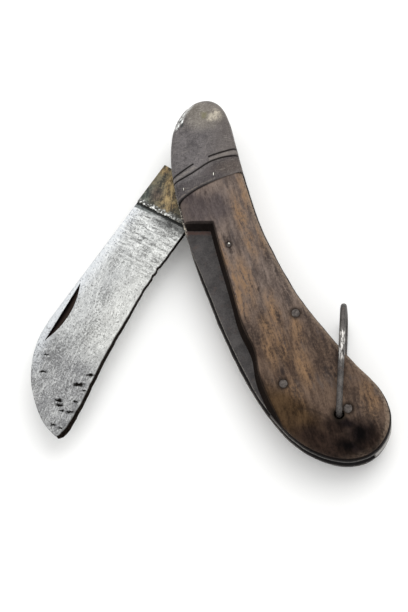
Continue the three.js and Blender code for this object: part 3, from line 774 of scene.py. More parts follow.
def wood_finish():
    """Old wood: brown and grey-brown, orange streaks along the grain, black stains, rims worn light on the
    back and partly a painted highlight there, and the cut's wall painted near black for dirt and painted
    shade.
    """
    material, place, shader = finish("scale_wood")
    shader.inputs["Specular IOR Level"].default_value = 0.02
    swayed = place.swayed(3.0, 1.3)
    grained = place.swayed(9.0, 1.6).turned((0.0, 0.0, 0.0), GRAIN_ANGLE, (6.0, 1.0, 1.6))
    streak = grained.grain(1.2, 6.0, 0.65)
    fibre = place.drawn(GRAIN_ANGLE, 14.0).grain(0.2, 4.0, 0.6)
    pore = place.drawn(GRAIN_ANGLE, 7.0).grain(0.3, 2.0, 0.5).within(0.6, 0.7)
    cloud = place.drawn(GRAIN_ANGLE, 2.0).grain(4.0, 6.0, 0.62)
    mottle = place.grain(0.8, 5.0, 0.75)
    tone = (cloud * 0.35 + streak * 0.4 + mottle * 0.25).within(0.39, 0.6)
    upper = swayed.part(1).within(-12.0, 16.0)
    colour = tone.tint((0.05, 0.033, 0.025), (0.138, 0.094, 0.068))
    colour = upper.tint(colour, tone.tint((0.082, 0.063, 0.055), (0.2, 0.155, 0.13)))
    lit = swayed.spots(ORANGE_STREAKS, GRAIN_ANGLE, 0.9) * (streak * 0.6 + mottle * 0.4).within(0.38, 0.58)
    colour = (lit * 0.85).tint(colour, (0.25, 0.15, 0.08))
    grey = place.drawn(GRAIN_ANGLE, 3.0).grain(2.4, 5.0, 0.65).within(0.54, 0.66)
    colour = (grey * 0.35).tint(colour, (0.08, 0.071, 0.07))
    purple = swayed.spots(PURPLE_AREAS, GRAIN_ANGLE, 0.7)
    colour = (purple * 0.85).tint(colour, tone.tint((0.054, 0.044, 0.045), (0.088, 0.073, 0.073)))
    dark = swayed.spots(DARK_STAINS, GRAIN_ANGLE, 0.9) * (mottle * 0.5 + streak * 0.5).within(0.66, 0.4)
    black = swayed.spots(BUTT_BLACKS, -14.0, 0.9)
    low_shade = swayed.spots(LOW_SHADE, -14.0, 0.6)
    knots = place.swayed(0.8, 0.35).spots(KNOTS, GRAIN_ANGLE, 0.7)
    colour = (fibre.within(0.5, 0.7) * 0.4 | pore * 0.3).tint(colour, (0.03, 0.021, 0.016))
    colour = (dark * 0.72 | knots * 0.85).tint(colour, (0.026, 0.02, 0.018))
    olive = swayed.spot(*OLIVE_SIDE, -38.0, 0.5)
    colour = (olive * 0.92).tint(colour, tone.tint((0.02, 0.0115, 0.0055), (0.072, 0.042, 0.02)))
    colour = (low_shade * 0.96).tint(colour, tone.tint((0.008, 0.005, 0.004), (0.028, 0.017, 0.013)))
    soot = cloud.within(0.4, 0.6).tint((0.002, 0.0015, 0.0015), (0.012, 0.008, 0.008))
    colour = (black * 1.05).tint(colour, soot)
    crack = place.mark("crack").within(0.5, 0.0) * mottle.within(0.3, 0.55)
    colour = (crack * 0.6).tint(colour, (0.02, 0.014, 0.011))
    sunk = [*WOOD_PINS.values(), (BAIL_HOLE, BAIL_HOLE_RADIUS)]
    dirty = [(*at, DIRT_RING * radius, DIRT_RING * radius) for at, radius in sunk]
    rings = place.swayed(0.7, 0.2).spots(dirty, 0.0, 0.4)
    colour = (rings * 0.9).tint(colour, (0.012, 0.009, 0.007))
    # The rim on the back side is lightened, partly worn by hands and partly a painted highlight on the lit
    # rounded edge.
    rim_wear_and_highlight = place.mark("rim").within(1.7, 0.3) * mottle.within(0.34, 0.62)
    back_side = place.drawn(-60.0).part(1).within(-2.0, 8.0)
    colour = (rim_wear_and_highlight * back_side * (1.0 - low_shade) * 0.7).tint(colour, (0.25, 0.19, 0.14))
    fading = place.part(0).within(-4.0, -20.0)
    # Painted shade and dirt: the cut's wall and the face by the cut are darkened near black, the wall
    # facing away from the light; the joint is darkened by dirt.
    grime_and_shade = place.mark("wall") | place.mark("cut").within(0.4, 0.1) * 0.7
    grime_and_shade = grime_and_shade | place.mark("joint").within(0.6, 0.15) * (0.25 + fading * 0.75)
    colour = (grime_and_shade * 0.94).tint(colour, (0.006, 0.0045, 0.004))
    roughness = 0.5 + streak * 0.2 + grime_and_shade * 0.25
    coat(shader, colour, roughness, 0.0, fibre * 0.35 + streak * 0.35 + mottle * 0.3 - pore * 0.35, 0.2)
    return material


def circle(radius, angles):
    """Points at angles in radians on a circle round the origin, or on several if it has several radii."""
    return radius * np.stack([np.cos(angles), np.sin(angles)], axis=-1)


wood_edge = moved_in(edge_line, WOOD_INSET)
wood_edge = trimmed(wood_edge, ~above_joint(wood_edge, -JOINT_GAP), joint_line - (0.0, JOINT_GAP))
cut_line = evenly(np.vstack([(-30.0, CUT_CURVE[0][1]), through(CUT_CURVE)]), 2500)
crack_line = through(CRACK)
towards_middle = np.array(REAR_MIDDLE[-1]) - BAIL_HOLE
well_top = math.atan2(towards_middle[1], towards_middle[0])
well_turn = well_top - np.linspace(0.0, 2 * np.pi, 41)
well_rim = BAIL_HOLE + circle(BAIL_HOLE_RADIUS, well_turn)


def wood_height(points, cut):
    """The face, less the rounded rim, the small arrises at the joint and the cut, and wear."""
    rim = away(points, closed_edge) - WOOD_INSET
    height = FACE - rounded(rim, *WOOD_ROUND) - joint_wear(points, *WOOD_ARRIS)
    if cut is not None:
        height = height - rounded(away(points, cut), *WOOD_ARRIS)
    height = height - CRACK_DEPTH * np.exp(-((away(points, crack_line) / CRACK_WIDTH) ** 2))
    for at, radius in WOOD_PINS.values():
        reach = np.linalg.norm(points - at, axis=-1) / (PIN_SINK_REACH * radius)
        height = height - PIN_SINK * np.exp(-(reach**4))
    waves = sum(ripple(points, *wave) for wave in WOOD_WAVES)
    return height + waves * np.clip(rim, 0.0, 1.0)


def scale(name, edge, middle, side, cut=None):
    """One scale: its edge, the middle it walks to, and the well where the bail's foot goes in."""
    edge, goal = partners(evenly(edge, 1300, True), evenly(through(middle), 240), well_rim)
    rim = np.linalg.norm(goal - BAIL_HOLE, axis=1, keepdims=True) < BAIL_HOLE_RADIUS + 0.05
    lip_width, lip_depth = HOLE_LIP
    lip = goal + np.where(rim, lip_width, 0.0) * (goal - BAIL_HOLE) / BAIL_HOLE_RADIUS
    face_height = wood_height(goal, cut)
    floor_height = np.where(rim[:, 0], FACE - BAIL_HOLE_DEPTH, face_height)
    low_lip = np.where(rim[:, 0], face_height - lip_depth, face_height)
    centre = np.where(rim, BAIL_HOLE, goal)
    well = [
        at_height(flat, height)[None]
        for flat, height in ((goal, low_lip), (goal, floor_height), (centre, floor_height))
    ]
    foot = edge
    if cut is not None:
        fade = np.clip((away(edge, closed_edge) - WOOD_INSET) / CUT_LEAN_FADE, 0.0, 1.0)
        foot = edge + np.array(CUT_LEAN) * (fade * (away(edge, cut) < 0.1))[:, None]
    grid, on_wall = cheek(edge, lip, lambda points: wood_height(points, cut), side, 64, foot, well)
    grid[0, :, :2] = centre
    flat = grid[..., :2]
    marks = {
        "rim": away(flat, closed_edge) - WOOD_INSET, "wall": on_wall, "joint": away(flat, joint_thin),
        "cut": away(flat, cut) if cut is not None else FAR_OFF, "crack": away(flat, crack_line),
    }
    fitted(shell(name, grid, marks), scale_wood, "scale_wood", "handle", name)


scale_wood = wood_finish()
front_edge = trimmed(wood_edge, beyond(wood_edge, through(CUT_CURVE)), cut_line)
scale("front_scale", front_edge, FRONT_MIDDLE, 1, cut_line[::6])
scale("rear_scale", wood_edge, REAR_MIDDLE, -1)

# Pins and rivets.
# Iron wire, cut a little long and hammered down into the wood and the bolsters.
# Each head is low, uneven and dull, and a ring of old dirt runs round it.

BOLSTER_PINS = {"left_bolster_pin": ((-22.7, 41.4), 0.6), "right_bolster_pin": ((-13.9, 46.4), 0.6)}
HEAD_PROUD = 0.09
HEAD_RIM = 0.12
HAMMERED = (1.6, 0.05)
HEAD_WEAR_AND_GLINTS = [(-8.3, 23.5, 0.2, 0.3), (-22.9, 41.3, 0.08, 0.65), (-13.9, 46.3, 0.09, 0.7)]
PIVOT_RADIUS = 1.7
PIVOT_HEAD_RADIUS = 2.5
PIVOT_HEAD_DEPTH = 1.6
PIVOT_PROUD = 0.07
PIVOT_ROUND = 0.03


def rivet_finish():
    """Hammered iron: facets from the hammer, dirt in the hollows, bright where it is worn, and painted
    glints on three heads.
    """
    material, place, shader = finish("rivet_iron")
    beaten = place.grain(0.9, 2.0, 0.5)
    fine = place.grain(0.22, 4.0, 0.7)
    tone = (beaten * 0.6 + fine * 0.4).within(0.32, 0.68)
    colour = tone.tint((0.03, 0.025, 0.022), (0.105, 0.089, 0.08))
    # The bright spots on three heads are partly worn bare and partly painted glints, thin dashes on the
    # bolster pins.
    bright = (beaten * 0.5 + fine * 0.5).within(0.6, 0.74) * 0.5 | place.spots(HEAD_WEAR_AND_GLINTS, 0.0, 0.6)
    colour = bright.tint(colour, (0.75, 0.73, 0.66))
    coat(shader, colour, 0.52 - bright * 0.18, 0.65, beaten * 0.7 + fine * 0.3, 0.2)
    return material


def rivet(name, at, profile, seed):
    """A profile of radius and height turned round an axis, its ends pressed uneven."""
    profile = np.asarray(profile, float)
    turn = np.linspace(0.0, 2 * np.pi, 48, endpoint=False)
    radius, height = profile[:, :1], profile[:, 1:]
    ring = circle(radius[:, None], turn) + at
    bumps = ripple(ring, *HAMMERED, seed) * (np.abs(height) > FACE - 2 * HEAD_RIM)
    grid = at_height(ring, height + bumps * np.sign(height))
    grid[[0, -1], :, 2] = grid[[0, -1], :1, 2]
    fitted(shell(name, grid), rivet_iron, "rivet_iron", "handle", name)


def head(radius, side):
    """A low domed head: the radius drawn in as the height rises, from the wall to the axis."""
    lean = np.linspace(0.0, 1.0, 9)
    return [(radius * math.cos(t * math.pi / 2) ** 0.7 if t < 1 else 0.0,
             side * (FACE - HEAD_RIM + (HEAD_PROUD + HEAD_RIM) * math.sin(t * math.pi / 2))) for t in lean]


rivet_iron = rivet_finish()
for seed, (name, (at, radius)) in enumerate({**WOOD_PINS, **BOLSTER_PINS}.items()):
    if name in ("spring_pin", "butt_rivet"):
        rivet(name, at, head(radius, -1)[::-1] + head(radius, 1), seed)
        continue
    for face, side in (("front", 1), ("rear", -1)):
        stem = [(0.0, side * LINER_INNER), (radius, side * LINER_INNER)]
        rivet(f"{name}_{face}", at, stem + head(radius, side), seed)

# Pivot pin.
# The blade turns on it. Both ends are spread into heads in the bolsters and filed flush there, so
# that only a faint ring shows, and the upper cut that stops short of it on both sides.

neck = FACE - PIVOT_HEAD_DEPTH
reach = np.linspace(PIVOT_HEAD_RADIUS, 0.0, 24)
dome = FACE + PIVOT_PROUD - PIVOT_ROUND * (reach / PIVOT_HEAD_RADIUS) ** 4
pivot_radius = np.concatenate([reach[::-1], [PIVOT_RADIUS, PIVOT_RADIUS], reach])[:, None, None]
pivot_height = np.concatenate([-dome[::-1], [-neck, neck], dome])[:, None]
turn = np.linspace(0.0, 2 * np.pi, 96, endpoint=False)
flat = PIVOT + circle(pivot_radius, turn)
cut = cut_depth(flat) * np.sign(pivot_height) * (np.abs(pivot_height) > FACE)
pivot_pin = shell("pivot_pin", at_height(flat, pivot_height - cut), bolster_marks(flat))
fitted(pivot_pin, bolster_iron, "rivet_iron", "handle", "pivot_pin")

# Blade.
# Forged steel, two thirds open. It thins from the spine to an edge that has been ground back and
# chipped. A nail nick is cut by the spine, and rust has pitted the point.

BLADE_SHOWN = -122.9
TANG_RADIUS = 5.3
TANG_LENGTH = 19.0
SHOULDER_X = 5.5
SPINE_Y = -10.7
SPINE_LENGTH = 66.0
POINT_CURVE = [(72.6, -9.9), (79.3, -7.4), (85.2, -3.4), (90.15, 2.2), (93.4, 7.9), (94.5, 13.6)]
BELLY = [
    (94.5, 13.6), (93.0, 14.6), (90.2, 14.9), (86.2, 14.4), (78.1, 13.1), (70.1, 11.5), (61.9, 10.3),
    (53.4, 9.3), (45.0, 8.2), (36.0, 7.7), (19.6, 7.6),
]
HEEL_ROUND = 2.2
BLADE_HALF_THICKNESS = (1.2, 0.85)
NICK_CHORD = [(51.5, -9.8), (72.2, -7.9)]
NICK_BULGE = (61.5, -4.3)
NICK_DEPTH = 0.6
NICK_WALL = 0.05
NICK_LINE_FADE = 12.0
BLADE_ARRIS = 0.1
EDGE_BEVEL = ([30.0, 45.0, 65.0, 82.0, 88.0, 92.5, 94.3], [0.2, 0.3, 0.75, 0.85, 1.2, 1.4, 0.9])
EDGE_CHIPS = [(34.6, 0.8, 0.45), (37.4, 0.7, 0.3), (42.5, 1.2, 0.15), (60.0, 2.0, 0.12), (76.0, 1.0, 0.12)]
EDGE_RIPPLE = (3.0, 0.06)
EDGE_RIPPLED = ([24.0, 30.0, 89.0, 93.0], [0.0, 1.0, 1.0, 0.0])
BLADE_WAVE = (14.0, 0.02)
PITS = [
    (-49.3, -16.2, 1.4, 0.4), (-52.6, -19.3, 1.7, 0.55), (-51.0, -21.2, 0.6, 0.3),
    (-58.4, -24.3, 1.1, 0.45), (-58.1, -25.7, 1.2, 0.5), (-53.2, -24.5, 0.7, 0.32),
    (-57.3, -27.4, 0.9, 0.35), (-54.8, -27.9, 1.2, 0.45), (-59.5, -31.8, 0.8, 0.4),
    (-57.1, -32.8, 0.7, 0.4), (-63.8, -15.4, 1.0, 0.32), (-63.0, -9.9, 0.7, 0.3),
]
LEDGE = [(20.4, -10.7), (18.9, 7.6)]
LEDGE_TURN = 4.7
DARK_CLOUDS = [
    (31.9, 0.7, 3.5, 2.5), (40.2, -4.8, 3.0, 2.0), (51.5, -0.7, 4.0, 2.5), (23.0, 3.0, 3.5, 5.0),
    (63.5, 1.5, 6.0, 3.5), (72.0, -2.0, 6.0, 3.5), (27.0, -7.5, 4.0, 2.0), (34.0, 5.6, 4.0, 2.0),
]


def blade_sides():
    """The blade's spine side and edge side as y over x, and the x of the stations between them.

    The tang is a disc with a shoulder. The stations crowd at the steps and towards the point.
    """
    spine_end = (SPINE_LENGTH, SPINE_Y)
    past_shoulder = SHOULDER_X + 0.05
    spine = np.vstack([(past_shoulder, SPINE_Y), spine_end, through([spine_end, *POINT_CURVE])[1:]])
    belly = through(BELLY)[::-1]
    heel_x, heel_y = BELLY[-1]
    heel_start = heel_x - HEEL_ROUND
    heel = arc_between([(heel_start, TANG_RADIUS), (heel_start, heel_y), (heel_x, heel_y)], 12)
    disc = np.linspace(np.pi, np.pi / 2, 24)
    round_end = circle(TANG_RADIUS, disc)
    edge_side = np.vstack([round_end, heel, belly[1:]])
    spine_side = np.vstack([round_end * (1, -1), (SHOULDER_X, -TANG_RADIUS), spine])
    tip = POINT_CURVE[-1][0]
    fine_start, fine_end = NICK_CHORD[0][0] - 1.0, NICK_CHORD[1][0] + 1.3
    towards_tip = np.sin(np.linspace(0.0, np.pi / 2, 110))[1:-3]
    stations = np.concatenate([
        round_end[:-1, 0], np.linspace(0.0, SHOULDER_X, 10), np.linspace(past_shoulder, heel_start, 24),
        heel[1:, 0], np.linspace(heel_x, fine_start, 110)[1:], np.linspace(fine_start, fine_end, 170)[1:],
        fine_end + (tip - fine_end) * towards_tip, [tip],
    ])
    return spine_side, edge_side, np.unique(np.round(stations, 4))


def blade_half(x, y):
    """Half the thickness: full on the tang, and thinning from the spine to the edge beyond it."""
    share = np.clip((y - SPINE_Y) / (BELLY[0][1] - SPINE_Y), 0.0, 1.0)
    spine, edge = BLADE_HALF_THICKNESS
    return np.where(x < TANG_LENGTH, spine, spine + (edge - spine) * share)


def blade_finish():
    """Ground steel: a painted white glare by the spine, grey to the point, scratched both ways, pitted and
    speckled, with painted shade past the ledge, on the edge wall and in the nick, and a painted highlight
    on the edge's arris.
    """
    material, place, shader = finish("blade_steel")
    own = place.turned((*PIVOT, 0.0), BLADE_SHOWN)
    cloud = own.drawn(0.0, 1.6).grain(6.0, 6.0, 0.6)
    mottle = own.grain(1.3, 6.0, 0.75)
    speck = own.grain(0.5, 2.0, 0.65, 0.7)
    along = own.drawn(12.0, 6.0).grain(0.5, 2.0, 0.6)
    across = own.swayed(5.0, 1.2).drawn(98.0, 7.0).grain(0.6, 2.0, 0.6)
    near_ledge = own.swayed(5.0, 2.0).part(0).within(48.0, 30.0)
    near_point = own.swayed(9.0, 5.0).part(0).within(62.0, 78.0)
    cream = own.swayed(6.0, 3.0).part(1).within(-4.0, 5.0) * (1.0 - near_point)
    tone = (cloud * 0.3 + mottle * 0.5 + speck * 0.2).within(0.4, 0.6)
    colour = tone.tint((0.3, 0.305, 0.305), (0.54, 0.55, 0.54))
    colour = (cream * 0.5).tint(colour, tone.tint((0.4, 0.4, 0.375), (0.66, 0.66, 0.625)))
    colour = (near_ledge * 0.4).tint(colour, tone.tint((0.2, 0.205, 0.2), (0.52, 0.53, 0.51)))
    colour = (near_point * 0.8).tint(colour, tone.tint((0.15, 0.15, 0.156), (0.33, 0.33, 0.33)))
    # Painted reflection: near the spine towards the point the steel is painted pale where it mirrors the
    # bright room.
    white = place.mark("spine_gap").within(5.0, 0.4) * own.part(0).within(86.0, 74.0)
    colour = (white * 0.9).tint(colour, (0.53, 0.55, 0.57))
    patchy = (mottle * 0.7 + cloud * 0.3).within(0.44, 0.58) * (1.0 - white * 0.85)
    clouds = own.swayed(2.5, 1.8).spots(DARK_CLOUDS, 0.0, 0.9)
    dense = patchy * 0.6 | clouds | near_point * 0.7
    dots = (speck + dense * 0.11).within(0.6, 0.68)
    lines = across.within(0.55, 0.585) * near_ledge * (0.35 + patchy * 0.65)
    lines = lines * own.part(1).within(-9.5, -5.0) | along.within(0.58, 0.62) * patchy * 0.7
    colour = (dots * 0.62 | lines * 0.8 | clouds * 0.15).tint(colour, (0.035, 0.035, 0.034))
    glints = across.within(0.46, 0.41) * near_ledge | along.within(0.42, 0.37) * 0.6
    glints = glints | speck.within(0.4, 0.34)
    colour = (glints * 0.5).tint(colour, (0.72, 0.73, 0.71))
    pits = place.swayed(0.8, 0.75).spots(PITS, -4.0, 0.5)
    colour = pits.tint(colour, (0.008, 0.007, 0.006))
    by_ledge = own.turned((*LEDGE[0], 0.0), LEDGE_TURN)
    past_ledge = by_ledge.swayed(1.0, 0.3).part(0)
    shaded = by_ledge.swayed(2.0, 1.4).part(0).within(4.8, 1.4) * own.part(1).within(-7.0, 2.0)
    colour = (shaded * (0.62 + mottle.within(0.4, 0.6) * 0.34)).tint(colour, (0.03, 0.031, 0.03))
    # Painted shadow and stain: a grey-green band and a near black line just past the ledge, where the
    # plate's step throws its shadow onto the blade.
    under_ledge_shade_and_stain = past_ledge.within(1.9, 1.2) * own.part(1).within(-2.0, -7.0)
    grey_green = mottle.within(0.35, 0.65).tint((0.03, 0.036, 0.034), (0.085, 0.1, 0.095))
    colour = (under_ledge_shade_and_stain * 0.85).tint(colour, grey_green)
    ledge_shadow_and_dirt = past_ledge.within(0.8, 0.45)
    colour = (ledge_shadow_and_dirt * 0.92).tint(colour, (0.012, 0.013, 0.012))
    # Painted highlight: a pale line along the arris of the edge.
    arris_highlight = (mottle * 0.5 + speck * 0.5).within(0.44, 0.6)
    arris_highlight = arris_highlight * place.mark("edge_gap").within(0.45, 0.15)
    colour = (arris_highlight * 0.6).tint(colour, (0.5, 0.5, 0.48))
    # Painted shade: the edge wall, and less so the spine wall, are painted near black as they face away
    # from the light.
    wall = place.mark("wall")
    colour = wall.tint(colour, speck.within(0.4, 0.65).tint((0.006, 0.004, 0.003), (0.03, 0.022, 0.017)))
    # The nail nick is painted dark brown, for dirt in it and for painted shade in its hollow.
    nick = place.mark("nick")
    nick_brown = nick.within(0.35, 0.9).tint((0.003, 0.002, 0.002), (0.045, 0.032, 0.026))
    colour = nick.within(0.0, 0.3).tint(colour, nick_brown)
    dull = wall | nick.within(0.0, 0.3) | pits
    metallic = 0.85 + dull * 0.15
    roughness = 0.38 + mottle * 0.12 + dull * 0.3 + near_point * 0.08
    height = mottle * 0.35 + speck * 0.25 + across * near_ledge * 0.2 + along * 0.15
    height = height - pits * 0.9 - dots * 0.3
    coat(shader, colour, roughness, metallic, height, 0.14)
    return material


spine_side, edge_side, stations = blade_sides()
near = np.interp(stations, *spine_side.T)
far = np.interp(stations, *edge_side.T)
for chip_x, chip_length, chip_depth in EDGE_CHIPS:
    far = far - chip_depth * np.exp(-(((stations - chip_x) / chip_length) ** 2))
far = far + ripple(stations[:, None] * (1.0, 0.0), *EDGE_RIPPLE, 31) * np.interp(stations, *EDGE_RIPPLED)

(nick_x0, nick_y0), (nick_x1, nick_y1) = NICK_CHORD
over_nick = (stations > nick_x0) & (stations < nick_x1)
spine_by_nick = np.interp([nick_x0, nick_x1], *spine_side.T)
below_spine = np.interp(stations, [nick_x0, nick_x1], np.array([nick_y0, nick_y1]) - spine_by_nick)
chord = near + below_spine * np.clip((far - near) / NICK_LINE_FADE, 0.0, 1.0)
chord = np.where(over_nick, np.interp(stations, [nick_x0, nick_x1], [nick_y0, nick_y1]), chord)
nick_arc = arc_between([NICK_CHORD[0], NICK_BULGE, NICK_CHORD[1]], 200)
nick_width = np.where(over_nick, np.interp(stations, *nick_arc.T) - chord, 0.0)
bevel = np.interp(stations, *EDGE_BEVEL)


def blade_section():
    """Lines along the blade in their order round its section: y, z, and marks, at every station.

    The arrises are quarter circles, the nick's wall drops steeply at its chord and its floor
    rises to the bulge, and the edge and spine walls stand straight.
    """
    width = far - near
    step = np.minimum(BLADE_ARRIS, 0.2 * width)
    nick_start = chord + np.minimum(NICK_WALL, 0.02 * width)
    nick_end = nick_start + nick_width
    arris = far - np.minimum(bevel, 0.4 * width) * (stations > BELLY[-1][0])
    quarter = [(share, BLADE_ARRIS * (1 - math.sqrt(1 - (1 - share) ** 2))) for share in (0.0, 0.3, 0.65)]
    levels = (0.6, 0.04, -0.6)
    shares = np.linspace(0.0, 1.0, 91)[1:-1]
    lines = []

    def add(y, side, lowered=0.0, level=1.0, wall=0.0, nick=0.0):
        """One line on the front, side 1, or on the rear, side -1."""
        z = side * (blade_half(stations, y) - lowered) * level
        lines.append(np.stack(np.broadcast_arrays(y, z, wall, nick)))

    for share, lowered in quarter:
        add(near + step * share, 1, lowered)
    for share in np.linspace(0.0, 1.0, 5):
        add(near + step + (chord - near - step) * share, 1)
    for share in np.linspace(0.0, 1.0, 16):
        depth = NICK_DEPTH * np.minimum(nick_width, 1.0) * (1 - share**1.6)
        shown = (nick_width > 0) * (share < 0.97)
        add(nick_start + nick_width * share, 1, depth, nick=shown * (0.3 + 0.7 * share))
    for share in shares:
        add(nick_end + (arris - step - nick_end) * share, 1)
    for share, lowered in quarter[::-1]:
        add(arris - step * share, 1, lowered)
    for share, level in zip((0.25, 0.6, 1.0), levels):
        add(arris + (far - arris) * share, 1, BLADE_ARRIS, level, wall=1.0)
    for share, lowered in quarter:
        add(far - step * share, -1, lowered)
    for share in shares[::2]:
        add(far - step + (near + 2 * step - far) * share, -1)
    for share, lowered in quarter[::-1]:
        add(near + step * share, -1, lowered)
    for level in levels[::-1]:
        add(near, 1, BLADE_ARRIS, level, wall=0.35)
    return np.stack(lines).transpose(1, 2, 0)


section_y, section_z, on_wall, in_nick = blade_section()
section_x = np.broadcast_to(stations[:, None], section_y.shape)
blade_grid = np.stack([section_x, section_y, section_z], axis=-1)
blade_grid[..., 2] += ripple(blade_grid[..., :2], *BLADE_WAVE, 33)
blade_marks = {
    "edge_gap": (far - bevel)[:, None] - section_y, "spine_gap": section_y - near[:, None], "wall": on_wall,
    "nick": in_nick,
}
blade = shell("blade", swung(blade_grid, BLADE_SHOWN, PIVOT), blade_marks)
fitted(blade, blade_finish(), "blade_steel", "blade", "blade")

# Tang plates.
# A brass plate on each side of the tang thickens it to fill the slot. They are tarnished gold,
# olive and brown, and along the ledge where they end the edge is knocked bright and ragged.

TANG_PLATE_THICKNESS = 0.6
PLATE_BURR = 0.14
PLATE_STEPS = 900
PLATE_MIDDLE = [(-1.0, 0.0), (4.0, -0.6), (9.0, -2.2), (13.0, -2.2)]
GOLD_PATCHES = [
    (6.6, -9.3, 1.9, 1.3), (11.1, -4.2, 2.4, 1.7), (14.3, -3.2, 2.6, 1.7), (16.4, -1.0, 2.4, 1.6),
    (8.8, -6.4, 2.2, 1.1),
]
DARK_PATCHES = [(9.5, -8.0, 1.3, 0.8), (17.6, 2.5, 1.5, 3.6), (13.6, -6.6, 1.4, 1.0)]
BLUISH_PATCH = (17.8, -9.6, 3.6, 2.2)
PURPLE_PATCH = (15.0, -7.0, 2.2, 1.9)
LEDGE_RAGGED = (1.3, 0.16)


def brass_finish():
    """Tarnished brass: gold where it is rubbed, olive and brown elsewhere, the ledge chipped pale."""
    material, place, shader = finish("tang_brass")
    own = place.turned((*PIVOT, 0.0), BLADE_SHOWN)
    ragged = own.swayed(1.8, 1.1)
    cloud = own.grain(2.2, 6.0, 0.7)
    fine = own.grain(0.5, 5.0, 0.75)
    streak = place.drawn(84.0, 5.0).grain(0.4, 4.0, 0.65)
    tone = (cloud * 0.55 + fine * 0.15 + streak * 0.3).within(0.42, 0.58)
    colour = tone.tint((0.036, 0.035, 0.028), (0.17, 0.148, 0.096))
    gold = ragged.spots(GOLD_PATCHES, 0.0, 0.8) * (cloud * 0.4 + streak * 0.6).within(0.38, 0.54)
    colour = (gold * 0.85).tint(colour, tone.tint((0.17, 0.1, 0.04), (0.42, 0.31, 0.15)))
    bluish = ragged.spot(*BLUISH_PATCH, 0.0, 0.7)
    colour = (bluish * 0.7).tint(colour, tone.tint((0.04, 0.052, 0.047), (0.14, 0.165, 0.15)))
    purple = ragged.spot(*PURPLE_PATCH, 0.0, 0.7)
    colour = (purple * 0.75).tint(colour, tone.tint((0.04, 0.028, 0.022), (0.13, 0.092, 0.075)))
    dark = ragged.spots(DARK_PATCHES, 0.0, 0.8) * fine.within(0.62, 0.44)
    colour = (dark * 0.85).tint(colour, (0.022, 0.023, 0.021))
    past_ledge = own.turned((*LEDGE[0], 0.0), LEDGE_TURN).swayed(1.4, 0.9).part(0)
    ledge = past_ledge.within(-1.9, -1.1)
    chipped = past_ledge.within(-1.9, -0.5) * own.grain(0.8, 4.0, 0.7).within(0.51, 0.55)
    chipped = chipped * (0.35 + own.part(1).within(4.0, -3.0) * 0.65)
    ledge_grey = fine.within(0.42, 0.6).tint((0.02, 0.021, 0.02), (0.16, 0.16, 0.15))
    colour = (ledge * 0.85).tint(colour, ledge_grey)
    colour = chipped.tint(colour, (0.78, 0.79, 0.76))
    rubbed = place.mark("rim").within(0.3, 0.05) * fine.within(0.45, 0.62)
    colour = (rubbed * 0.4).tint(colour, (0.3, 0.26, 0.17))
    coat(shader, colour, 0.5 + fine * 0.15 - chipped * 0.1, 0.6, cloud * 0.4 + fine * 0.6, 0.18)
    return material


on_tang, off_tang = spine_side[spine_side[:, 0] < LEDGE[0][0]], edge_side[edge_side[:, 0] < LEDGE[1][0]]
ledge_line = evenly(LEDGE, 120)
ledge_line[:, 0] -= LEDGE_RAGGED[1] + ripple(ledge_line, *LEDGE_RAGGED, 41)
plate_edge, plate_middle = (
    swung(line, BLADE_SHOWN, PIVOT)
    for line in (
        evenly(np.vstack([on_tang, ledge_line, off_tang[:0:-1]]), PLATE_STEPS, True),
        evenly(through(PLATE_MIDDLE), 40),
    )
)
tang_brass = brass_finish()
under = BLADE_HALF_THICKNESS[0]
over = under + TANG_PLATE_THICKNESS
for face, side in (("front", 1), ("rear", -1)):
    name = f"tang_plate_{face}"
    heights = (side * under, side * over, side * PLATE_BURR)
    tang_plate = plate(name, plate_edge, plate_middle, *heights, PLATE_STEPS)
    fitted(tang_plate, tang_brass, "tang_brass", "blade", name)

# Bail.
# One length of iron wire bent by hand into a loop, with both ends turned into holes in the butt.
# It swings, hangs on a belt or a string, and is scraped bright where it rubs.

BAIL_SHOWN = 88.5
WIRE_RADIUS = 0.92
WIRE_WORN = 0.985
WIRE_UNEVEN = (9.0, 0.02)
WIRE_OVAL = 0.02
WIRE_WALK = 95.0
BAIL_SIDE_GAP = 0.7
BAIL_LENGTH = 34.0
BAIL_BEND = 6.0
BAIL_FOOT_BEND = 1.6
SCRAPED = [(26.0, -10.8, 2.6, 1.1), (26.2, -6.6, 2.2, 1.0)]


def wire_finish():
    """Blackened iron wire with bright scrapes along it and a little rust."""
    material, place, shader = finish("bail_wire")
    cloud = place.grain(2.2, 5.0, 0.6)
    fine = place.grain(0.35, 5.0, 0.7)
    scrape = place.drawn(84.0, 4.0).grain(0.5, 4.0, 0.65)
    colour = (cloud * 0.5 + fine * 0.5).within(0.35, 0.65).tint((0.034, 0.03, 0.029), (0.125, 0.115, 0.107))
    rusty = place.grain(1.6, 4.0, 0.6).within(0.58, 0.7)
    colour = (rusty * 0.5).tint(colour, (0.08, 0.05, 0.036))
    on_leg = place.swayed(1.2, 0.5).spots(SCRAPED, BAIL_SHOWN, 0.5) * place.part(2).within(0.0, 6.0)
    bright = on_leg * scrape.within(0.49, 0.55) | scrape.within(0.66, 0.74) * 0.3
    colour = bright.tint(colour, (0.55, 0.53, 0.5))
    coat(shader, colour, 0.44 + fine * 0.16 - bright * 0.16, 0.7, fine * 0.6 + scrape * 0.4, 0.12)
    return material


def bail_path():
    """Half the bail in its own plane, as x outwards and z: foot, bend, leg, bend, to the crown."""
    side = FACE + BAIL_SIDE_GAP + WIRE_RADIUS
    foot_bend = arc_between([(0.0, side - BAIL_FOOT_BEND), (0.0, side), (BAIL_FOOT_BEND, side)], 14)
    crown_start = BAIL_LENGTH - BAIL_BEND
    crown_end = (BAIL_LENGTH, side - BAIL_BEND)
    crown_bend = arc_between([(crown_start, side), (BAIL_LENGTH, side), crown_end], 28)
    return np.vstack([(0.0, LINER_INNER), foot_bend, crown_bend, (BAIL_LENGTH, 0.0)])


